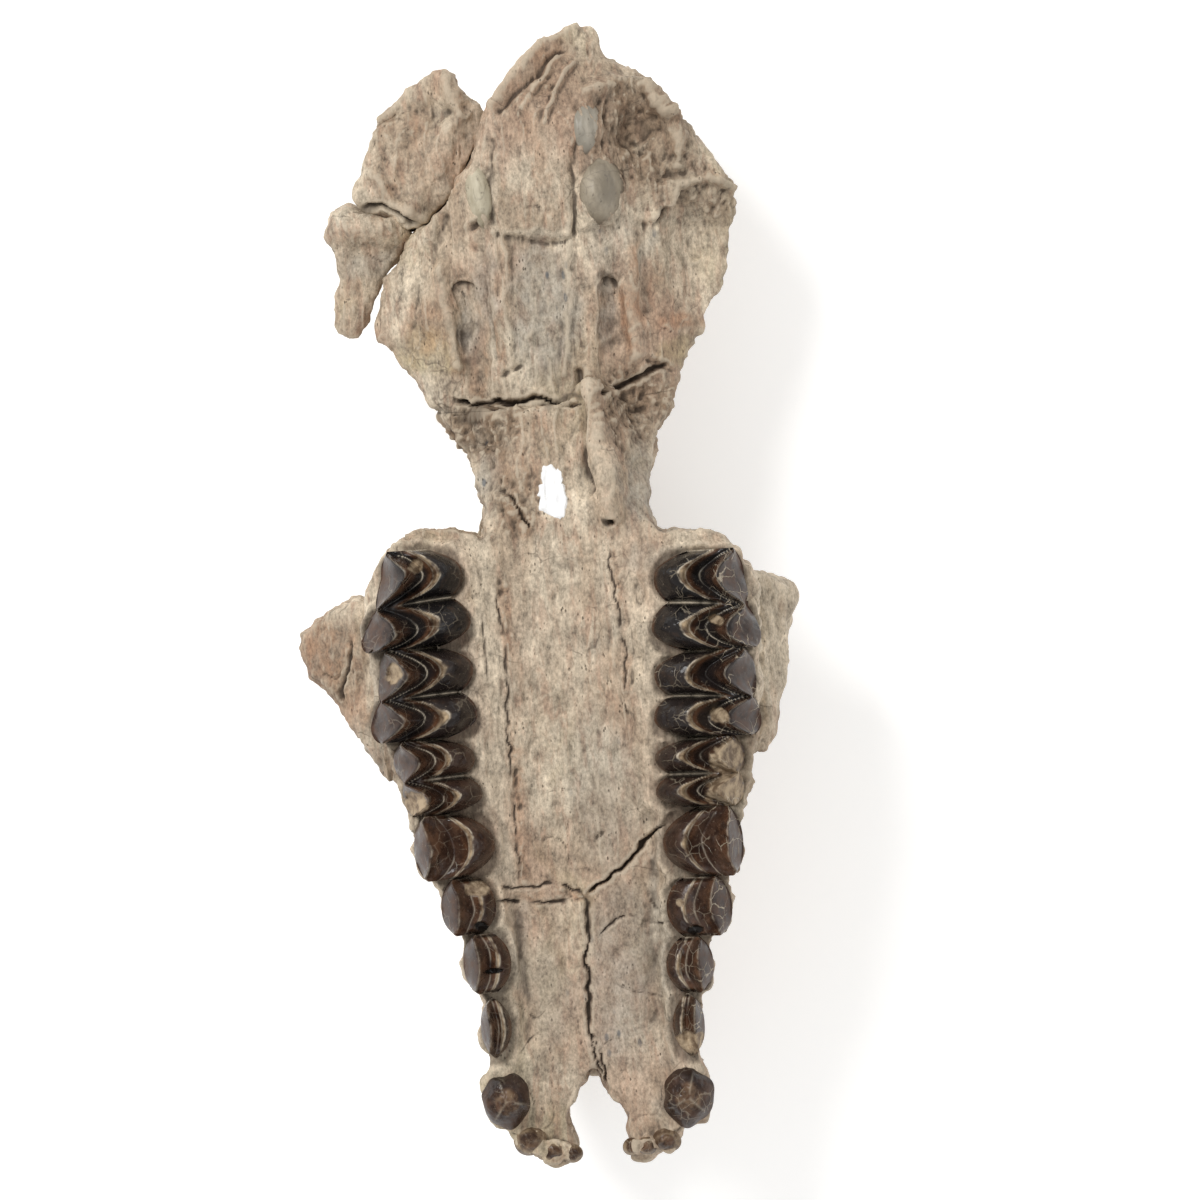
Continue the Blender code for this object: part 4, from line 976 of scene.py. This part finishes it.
# Forms: crest and valley places across the crown, how far they bend, heights, band width, end notch
FORMS = {
    "molar": dict(inner=(0.31, 0.36), valley=(0.49, 0.40), outer=(0.68, 0.27), heights=(7.0, 3.4, 10.5),
                  band=0.62, notch=6.4, middle=2.8, edge=1.4, round=1.6),
    "premolar": dict(inner=(0.28, 0.30), valley=(0.48, 0.26), outer=(0.79, 0.12), heights=(6.6, 4.0, 9.5),
                     band=0.42, notch=6.4, middle=2.8, edge=1.4, round=2.2),
    "blade": dict(inner=(0.26, 0.22), valley=(0.42, 0.20), outer=(0.66, 0.14), heights=(4.2, 3.2, 7.0),
                  band=0.30, notch=3.0, middle=2.0, edge=1.2, round=2.4),
}
# Broken or chipped places: tooth, place along it from back to front, place across, radii, kind
CHIPS = [
    ("left", "M2", 0.22, 0.84, 0.10, 0.10, "matrix"), ("left", "M1", 0.78, 0.86, 0.20, 0.16, "matrix"),
    ("left", "M3", 0.16, 0.55, 0.07, 0.08, "matrix"), ("left", "P3", 0.16, 0.30, 0.17, 0.22, "matrix"),
    ("right", "M3", 0.66, 0.60, 0.05, 0.07, "matrix"), ("right", "M2", 0.72, 0.60, 0.10, 0.10, "matrix"),
    ("right", "M1", 0.30, 0.80, 0.24, 0.20, "matrix"), ("right", "M1", 0.75, 0.80, 0.26, 0.24, "matrix"),
    ("right", "P1", 0.78, 0.50, 0.20, 0.60, "matrix"), ("right", "P3", 0.40, 0.20, 0.06, 0.06, "matrix"),
    ("left", "P3", 0.86, 0.30, 0.10, 0.14, "dark"), ("right", "P3", 0.88, 0.42, 0.08, 0.14, "dark"),
    ("left", "P2", 0.62, 0.35, 0.05, 0.20, "dark"),
]


NECK_LIFT = 3.0      # from the middle of the palate up to the neck of a cheek tooth
FOOT_SHARE = 0.74    # size of a crown's hidden foot beside its neck


def crown_points(side, name, kind, back, front, lobes, settings):
    """Places, heights and masks over one crown, as grids from back to front and from inside out."""
    form = FORMS[kind]
    count = len(lobes)
    length = back - front
    reach = np.mean([outer - inner for inner, outer, sweep in lobes])
    rows = int(length / (settings.cell / MM)) + 1
    columns = int(reach / (settings.cell / MM)) + 1
    along = np.linspace(0, 1, rows)[:, None]
    across = np.linspace(0, 1, columns)[None, :]
    seed = 300 + 10 * (side == "right") + 23 * CHEEK_NAMES.index(name)
    flat = np.stack([along * length + 0 * across, across * reach + 0 * along, 0 * along * across], -1)
    wobble = noise(flat, (3.1, 3.7, 1), seed)
    finer = rough(flat, (1.1, 1.3, 1), seed + 3)

    centres = (np.arange(count) + 0.5) / count
    inner, outer, sweep = (np.interp(along, centres, [lobe[k] for lobe in lobes]) for k in range(3))
    cell = np.clip(np.floor(along * count), 0, count - 1)
    s = 2 * (along * count - cell) - 1
    a = np.abs(s)
    end = ((cell == 0) & (s < 0)) | ((cell == count - 1) & (s > 0))
    if count == 1:
        end = np.ones_like(end)
    full = outer - inner
    cut = np.where(end, form["notch"], form["middle"]) * a ** 2.3
    outside = np.where(end, form["round"], 0.9) * a ** 2.6
    inside_edge = inner + cut
    outside_edge = outer - outside
    place = inside_edge + (outside_edge - inside_edge) * across
    b = (place - inner) / full
    b_in = (inside_edge - inner) / full
    b_out = (outside_edge - inner) / full
    warp = b + 0.026 * wobble + 0.006 * finer
    c1 = form["inner"][0] + form["inner"][1] * a ** 2.0
    v2 = form["valley"][0] + form["valley"][1] * a ** 2.0
    c3 = form["outer"][0] + form["outer"][1] * a ** 1.7
    c3 = np.minimum(c3, b_out - 0.02)
    v2 = np.minimum(v2, c3 - 0.03)
    c1 = np.minimum(c1, v2 - 0.03)
    k1, low, k3 = form["heights"]
    k1 = k1 * (1 - 0.30 * a ** 2)
    k3 = k3 * (1 - 0.24 * a ** 2)
    low = low * (1 + 0.35 * a ** 2)
    edge = form["edge"]
    rise = np.clip((warp - b_in) / (c1 - b_in), 0, 1)
    t12 = np.clip((warp - c1) / (v2 - c1), 0, 1)
    t23 = np.clip((warp - v2) / (c3 - v2), 0, 1)
    t3 = np.clip((warp - c3) / (b_out - c3), 0, 1)
    height = edge + (k1 - edge) * np.sin(rise * math.pi / 2) ** 0.85
    height = np.where(warp > c1, k1 + (low - k1) * t12 ** 0.8, height)
    height = np.where(warp > v2, low + (k3 - low) * t23 ** 1.15, height)
    height = np.where(warp > c3, k3 + (edge - k3) * t3 ** 1.35, height)
    gap = (1 - a) * length / count / 2
    furrow = hill(gap, 0.55) * (1 - smooth(b, 0.62, 0.80))
    height = height - 1.5 * furrow * (height > edge)

    width = form["band"] * (1 - 0.45 * a) * (1 + 0.35 * wobble + 0.10 * finer)
    from_crest = (warp - c1) * full
    grit = np.clip(0.55 + 0.75 * finer, 0, 1)
    dentine = hill(from_crest, width, 4) * (0.45 + 0.55 * grit) * (1 - 0.4 * a)
    line = hill((warp - v2) * full, 0.12) * (0.8 if kind == "molar" else 0.35) * smooth(wobble, -0.7, 0.1)
    reach_of_seam = smooth(b, 0.02, 0.10) * (1 - smooth(b, 0.50, 0.72))
    border = hill(gap - 0.04 * wobble, 0.14) * reach_of_seam * (0.5 + 1.1 * grit)
    for other in (0.85 * hill(from_crest + width, 0.13) * grit, 0.60 * hill(from_crest - width, 0.11) * grit,
                  border * (1.0 if kind == "molar" else 0.5), 0.30 * hill((warp - c3) * full, 0.16) * grit):
        line = np.maximum(line, other)
    slope_mask = 0.8 * smooth(t23, 0.15, 0.9) * (warp < c3)
    slope_mask = slope_mask + hill(from_crest - width - 0.5, 0.7) * (warp > c1)
    wall = smooth(t3, 0.02, 0.30) * (warp > c3) * (0.55 + 0.45 * np.clip(0.5 + wobble, 0, 1))
    masks = {"dentine": dentine, "line": line,
             "slope": np.maximum(slope_mask, 0.9 * hill((b - b_in) * full, 0.45)),
             "wall": wall, "matrix": 0 * b,
             "dark": 0.85 * hill(gap - 0.42, 0.20) * (1 - smooth(b, 0.55, 0.65)),
             "craze": 0.25 + 0.45 * smooth(b, 0.5, 0.8) * (side == "right")}
    for chip_side, chip_name, at, over, r_along, r_across, sort in CHIPS:
        if (chip_side, chip_name) == (side, name):
            hit = np.exp(-((along - at) / r_along) ** 2 - ((b - over) / r_across) ** 2)
            hit = smooth(hit + 0.16 * finer + 0.10 * wobble, 0.30, 0.50)
            masks[sort] = np.maximum(masks[sort], hit)
            height = height - hit * (1.1 if sort == "matrix" else 1.6) * np.clip((height - edge) / 5, 0, 1)
            for other in ("line", "dentine", "slope", "wall"):
                masks[other] = masks[other] * (1 - hit * (sort == "matrix"))
    height = height + 0.16 * wobble + 0.06 * finer + 0.25 * finer * masks["matrix"]
    x = SIDES[side] * place
    y = back - length * along - sweep * np.clip(b, 0, 1) ** 1.6 * np.sin(np.pi * np.clip(along, 0, 1)) ** 0.5
    neck = palate_height(y) + NECK_LIFT
    return x + 0 * y, y + 0 * x, neck + height, neck, masks


def crown_piece(name, x, y, z, neck, masks, root):
    """Closed crown: the modelled top, its sides down into the bone, and a flat end."""
    rows, columns = x.shape
    top = np.stack([x, y, z], -1).reshape(-1, 3)
    count = rows * columns
    rim = list(range(columns)) + [row * columns + columns - 1 for row in range(1, rows)]
    rim += [count - 1 - column for column in range(1, columns)]
    rim += [row * columns for row in range(rows - 2, 0, -1)]
    middle = top.mean(0)
    lower = top[rim].copy()
    lower[:, :2] = middle[:2] + (lower[:, :2] - middle[:2]) * FOOT_SHARE
    lower[:, 2] = np.min(neck) - root
    faces = grid_faces(rows, columns)
    size = len(rim)
    for step in range(size):
        other = (step + 1) % size
        faces.append((rim[other], rim[step], count + step, count + other))
    faces.append(tuple(range(count, count + size)))
    piece = new_object(name, to_part(np.vstack([top, lower])), faces)
    outward(piece.data)
    for mask, values in masks.items():
        flat = np.broadcast_to(values, x.shape).ravel()
        put_mask(piece.data, mask, np.clip(np.concatenate([flat, np.zeros(size)]), 0, 1))
    return piece


class SKULL_OT_cheek_teeth(bpy.types.Operator):
    """Makes the molars and premolars with their crescent crests"""
    bl_idname = "skull.cheek_teeth"
    bl_label = "Cheek teeth"

    def execute(self, context):
        settings = context.scene.skull_teeth
        for side, name, kind, back, front, lobes, warm in CHEEK_TEETH:
            x, y, z, neck, masks = crown_points(side, name, kind, back, front, lobes, settings)
            piece = crown_piece(f"tooth_{name}_{side}", x, y, z, neck, masks, settings.root / MM)
            material = enamel_material(f"enamel_{name}_{side}", warm, 1.0 if side == "right" else 0.6)
            finish_piece(piece, material)
        return {"FINISHED"}


# Front teeth: side, name, centre, radii, turn, height, brownness
FRONT_TEETH = [
    ("left", "C1", (-16.8, -93.8), (4.7, 5.2), 0.1, 5.0, 0.55),
    ("right", "C1", (17.6, -95.3), (4.8, 5.7), -0.1, 5.0, 0.55),
    ("left", "I3", (-12.9, -101.9), (3.1, 2.9), 0.3, 3.4, 0.9),
    ("left", "I2", (-8.6, -104.3), (2.6, 2.1), 0.0, 2.8, 1.0),
    ("left", "I1", (-5.0, -104.9), (1.9, 1.9), 0.0, 2.3, 1.0),
    ("right", "I3", (13.0, -103.6), (2.7, 2.3), -0.3, 3.0, 0.9),
    ("right", "I2", (9.2, -104.4), (2.0, 1.8), 0.0, 2.5, 1.0),
    ("right", "I1", (6.2, -104.4), (1.6, 1.7), 0.0, 2.2, 1.0),
]


class SKULL_OT_front_teeth(bpy.types.Operator):
    """Makes the broken canines and the incisor stubs"""
    bl_idname = "skull.front_teeth"
    bl_label = "Front teeth"

    def execute(self, context):
        settings = context.scene.skull_teeth
        for seed, (side, name, centre, radii, turn, tall, warm) in enumerate(FRONT_TEETH):
            cells = 64 if name == "C1" else 40
            across = np.linspace(-1, 1, cells)[None, :] + np.zeros((cells, 1))
            along = np.linspace(-1, 1, cells)[:, None] + np.zeros((1, cells))
            disc_x = across * np.sqrt(1 - 0.5 * along ** 2)
            disc_y = along * np.sqrt(1 - 0.5 * across ** 2)
            flat = np.stack([disc_x * radii[0], disc_y * radii[1], 0 * across], -1)
            lump = noise(flat, (2.6, 2.6, 1), 500 + 11 * seed)
            fine = rough(flat, (0.9, 0.9, 1), 520 + 11 * seed)
            away = np.hypot(disc_x, disc_y)
            spread = 1 + 0.10 * lump
            x, y = turned(centre, disc_x * radii[0] * spread, disc_y * radii[1] * spread, turn)
            neck = palate_height(y) + (2.6 if name == "C1" else 1.2)
            out = disc_x * SIDES[side]
            planes = [0.9 * out + 0.25 * disc_y, -0.55 * out + 0.5 * disc_y, -0.75 * disc_y + 0.2 * disc_x]
            facet = np.max(planes, axis=0) + 0.25 * lump
            height = tall * (1 - 0.75 * away ** 4.0) * (1.0 - 0.42 * np.clip(facet, 0, 1)) + 0.12 * fine
            edge = np.sort(planes, axis=0)
            crest = hill(edge[2] - edge[1] + 0.05 * fine, 0.07) * (1 - smooth(away, 0.7, 0.9))
            stub = 1.0 if name == "C1" else 0.3
            core = 1 - smooth(away + 0.08 * lump, 0.42, 0.60)
            pale = (1 - stub) * smooth(away + 0.1 * lump, 0.45, 0.7)
            masks = {"dentine": np.maximum(0.25 * core * (0.5 + 0.5 * fine), 0.55 * pale),
                     "line": 0.45 * crest * (0.4 + 0.6 * fine) * stub,
                     "slope": 0.8 * core, "wall": 0.7 * smooth(facet, 0.2, 0.8), "matrix": 0.35 * pale,
                     "dark": 0.5 * smooth(disc_y, 0.45, 0.8) * (name == "C1"), "craze": 0.5 + 0 * away}
            piece = crown_piece(f"tooth_{name}_{side}", x, y, neck + height, neck, masks, settings.root / MM)
            finish_piece(piece, enamel_material(f"enamel_{name}_{side}", warm, 0.45))
        return {"FINISHED"}


# ---------------------------------------------------------------- ear bones and paint

# Ear bones: name, centre, radii, turn, how far it stands out, how pointed its front is, two colours
BULLAE = [
    ("bulla_right", (12.8, 76.4), (4.1, 6.6), -0.12, 1.7, 0.62, (0.20, 0.168, 0.122), (0.35, 0.298, 0.222)),
    ("bulla_left", (-10.4, 77.0), (2.4, 6.4), 0.12, 1.2, 0.60, (0.32, 0.275, 0.19), (0.47, 0.42, 0.31)),
    ("ear_bone_right", (10.9, 88.8), (2.7, 5.0), -0.1, 0.7, 0.20, (0.25, 0.225, 0.18), (0.40, 0.355, 0.285)),
]
SINK = 0.5             # how far ear bones and paint reach into the bone
FAR_ABOVE = 200.0
PAINT = 0.26           # thickness of the paint


@np.vectorize
def level_at(x, y):
    """Height of the bones' upper face, in millimetres."""
    place = Vector(to_part((x, y, FAR_ABOVE)))
    hit = built["surface"].ray_cast(place, Vector((0, 0, -1)))[0]
    if hit is None:
        raise RuntimeError(f"there is no bone under {x:.1f}, {y:.1f}")
    return hit.z / MM


def bulla_material(name, main, light):
    """Smooth grey bone with faint veins, and painted shade where its mesh is marked dark."""
    material, nodes, shader = new_material(name)
    mottle = nodes.cloud((1, 0.5, 1), 260, 5.0, 0.55)
    colour = nodes.cover(
        nodes.blend(nodes.ramp(mottle, 0.35, 0.65), main, light),
        (nodes.ramp(nodes.cloud((1, 0.8, 1), 900, 4.0), 0.40, 0.28), (0.13, 0.105, 0.08)),
        (nodes.times(nodes.cracks(260.0, 0.05), 0.35), (0.12, 0.10, 0.08)),
        (nodes.painted("dark"), (0.085, 0.058, 0.038)))
    nodes.dress(shader, colour, nodes.ramp(mottle, 0.3, 0.7, 0.42, 0.58), mottle, 0.00012)
    return material


class SKULL_OT_bullae(bpy.types.Operator):
    """Makes the smooth ear bones of the skull base"""
    bl_idname = "skull.bullae"
    bl_label = "Ear bones"

    def execute(self, context):
        rows, columns = 48, 64
        tilt = np.linspace(0, math.pi, rows)[:, None]
        around = np.linspace(0, 2 * math.pi, columns, endpoint=False)[None, :]
        for seed, (name, centre, radii, turn, tall, point, *shades) in enumerate(BULLAE):
            u = np.sin(tilt) * np.cos(around)
            v = np.sin(tilt) * np.sin(around)
            w = np.cos(tilt) + 0 * around
            u = u * (1 - point * np.clip(-v, 0, 1) ** 2.4) * (1 + 0.12 * v)
            flat = np.stack([u * radii[0], v * radii[1], w * 3], -1)
            lump = 0.07 * rough(flat, (2.6, 4, 3), 600 + 9 * seed)
            x, y = turned(centre, u * radii[0] * (1 + lump), v * radii[1] * (1 + lump), turn)
            nearby = ((0, 0), (1, 1), (-1, 1), (1, -1), (-1, -1))
            level = np.mean([level_at(x + dx, y + dy) for dx, dy in nearby], axis=0)
            z = level - SINK + np.where(w > 0, tall + SINK, 3.5) * w
            points = to_part(np.stack([x, y, z], -1).reshape(-1, 3))
            piece = new_object(name, points, grid_faces(rows, columns, ring=True))
            # Painted shade round the foot, where the ear bone meets the skull, and at its pointed front.
            rim = 0.8 * (1 - smooth(w, 0.10, 0.42))
            put_mask(piece.data, "dark", np.maximum(rim, 0.55 * smooth(-v, 0.6, 1.0)).ravel())
            outward(piece.data, 1e-7)
            finish_piece(piece, bulla_material(name + "_bone", *shades))
        return {"FINISHED"}


PATCH = [(0.0, 25.3), (1.8, 24.3), (1.5, 21.9), (2.5, 18.7), (1.4, 15.8), (-1.5, 16.0), (-3.0, 19.3),
         (-2.1, 22.1), (-1.9, 24.9)]


class SKULL_OT_patch(bpy.types.Operator):
    """Makes the bare patch of white paint on the waist"""
    bl_idname = "skull.patch"
    bl_label = "White paint patch"

    def execute(self, context):
        middle = np.mean(PATCH, axis=0)
        edge = np.array(PATCH + PATCH[:1]) - middle
        turns = np.unwrap(np.arctan2(edge[:, 1], edge[:, 0]))
        order = np.argsort(turns)
        rows, columns = 22, 96
        count = rows * columns
        around = np.linspace(turns.min(), turns.min() + 2 * math.pi, columns, endpoint=False)
        radius = np.interp(around, turns[order], np.hypot(*edge.T)[order])
        ring = np.stack([np.cos(around) * 4, np.sin(around) * 4, 0 * around], -1)
        radius = radius * (1 + 0.16 * rough(ring, (1.2, 1.2, 1), 701))
        share = ((np.arange(rows) + 1) / rows)[:, None]
        x = middle[0] + radius * share * np.cos(around)
        y = middle[1] + radius * share * np.sin(around)
        top = np.stack([x, y, level_at(x, y)], -1).reshape(-1, 3)
        low = top - (0, 0, SINK)
        brush = 0.10 * rough(top * (1, 1, 0), (0.9, 3.0, 1), 711)
        top[:, 2] += (PAINT + brush) * (1 - smooth(np.repeat(share, columns), 0.86, 1.0)) + 0.02
        level = level_at(*middle)
        centres = [(*middle, level + 0.25), (*middle, level - SINK)]
        faces = grid_faces(rows, columns, ring=True)
        faces += [tuple(count + corner for corner in reversed(face)) for face in faces]
        last = count - columns
        for column in range(columns):
            other = (column + 1) % columns
            faces.append((column, other, 2 * count))
            faces.append((count + other, count + column, 2 * count + 1))
            faces.append((last + other, last + column, count + last + column, count + last + other))
        piece = new_object("white_patch", to_part(np.vstack([top, low, centres])), faces)
        outward(piece.data)
        material, nodes, shader = new_material("white_paint")
        mottle = nodes.cloud((1, 0.4, 1), 900, 4.0)
        white = nodes.blend(nodes.ramp(mottle, 0.35, 0.7), (0.80, 0.80, 0.80), (0.95, 0.95, 0.94))
        nodes.dress(shader, white, nodes.ramp(mottle, 0.3, 0.7, 0.5, 0.7), mottle, 0.0001)
        finish_piece(piece, material)
        return {"FINISHED"}


# ---------------------------------------------------------------- stage


class SKULL_OT_stage(bpy.types.Operator):
    """Makes the pale floor, the soft studio light and the camera"""
    bl_idname = "skull.stage"
    bl_label = "Stage"

    def execute(self, context):
        settings = context.scene.skull_stage
        scene = context.scene
        scene.view_settings.view_transform = "Standard"
        floor = new_object("floor", [(-6, -6, 0), (6, -6, 0), (6, 6, 0), (-6, 6, 0)], [(0, 1, 2, 3)])
        material, nodes, shader = new_material("pale_floor")
        pale = tuple(settings.floor_colour)
        mottle = nodes.blend(nodes.cloud((1, 1, 1), 4, 3.0), pale, tuple(value * 0.99 for value in pale))
        for name, value in (("Base Color", mottle), ("Roughness", 0.9), ("Specular IOR Level", 0.1),
                            ("Emission Color", (1.0, 1.0, 1.0)), ("Emission Strength", 0.32)):
            nodes.put(shader.inputs[name], value)
        floor.data.materials.append(material)
        world = bpy.data.worlds.new("studio")
        world.use_nodes = True
        sky = world.node_tree.nodes["Background"]
        sky.inputs["Color"].default_value = (1.0, 1.0, 1.0, 1.0)
        sky.inputs["Strength"].default_value = 0.60
        scene.world = world
        lamps = (("key", (-0.9, 0.9, 1.5), 0.8, 26.0), ("fill", (1.1, -0.6, 1.6), 1.4, 7.0))
        for name, place, size, power in lamps:
            light = bpy.data.lights.new(name, "AREA")
            light.shape = "DISK"
            light.size = size
            light.energy = power
            lamp = bpy.data.objects.new(name, light)
            lamp.location = place
            lamp.rotation_mode = "QUATERNION"
            lamp.rotation_quaternion = (-Vector(place)).to_track_quat("-Z", "Y")
            scene.collection.objects.link(lamp)
        lens = bpy.data.cameras.new("camera")
        lens.lens = 240
        lens.sensor_width = 36
        lens.clip_end = 20
        camera = bpy.data.objects.new("camera", lens)
        camera.location = (0.0106, -0.001, settings.distance)
        camera.rotation_euler = (0, 0, math.radians(-3.89))
        scene.collection.objects.link(camera)
        scene.camera = camera
        return {"FINISHED"}


class SKULL_PT_panel(bpy.types.Panel):
    """Lists the pieces of the skull and their sizes"""
    bl_idname = "SKULL_PT_panel"
    bl_label = "Fossil skull"
    bl_space_type = "VIEW_3D"
    bl_region_type = "UI"
    bl_category = "Skull"

    def draw(self, context):
        for holder, kind in SETTINGS.items():
            box = self.layout.box()
            for name in kind.__annotations__:
                box.prop(getattr(context.scene, holder), name)
        for operator in OPERATORS:
            self.layout.operator(operator.bl_idname)


SETTINGS = {"skull_bones": BoneSettings, "skull_teeth": ToothSettings, "skull_stage": StageSettings}
OPERATORS = (SKULL_OT_bones, SKULL_OT_plates, SKULL_OT_cheek_teeth, SKULL_OT_front_teeth,
             SKULL_OT_bullae, SKULL_OT_patch, SKULL_OT_stage)
CLASSES = (*SETTINGS.values(), *OPERATORS, SKULL_PT_panel)


def register():
    """Adds the classes and the settings."""
    for kind in CLASSES:
        bpy.utils.register_class(kind)
    for name, kind in SETTINGS.items():
        setattr(bpy.types.Scene, name, PointerProperty(type=kind))


def unregister():
    """Takes the settings and the classes away."""
    for name in SETTINGS:
        delattr(bpy.types.Scene, name)
    for kind in reversed(CLASSES):
        bpy.utils.unregister_class(kind)


def main():
    """Makes every piece in order."""
    register()
    bpy.ops.skull.bones()
    bpy.ops.skull.plates()
    bpy.ops.skull.cheek_teeth()
    bpy.ops.skull.front_teeth()
    bpy.ops.skull.bullae()
    bpy.ops.skull.patch()
    bpy.ops.skull.stage()
    bpy.context.view_layer.update()


if __name__ == "__main__":
    main()
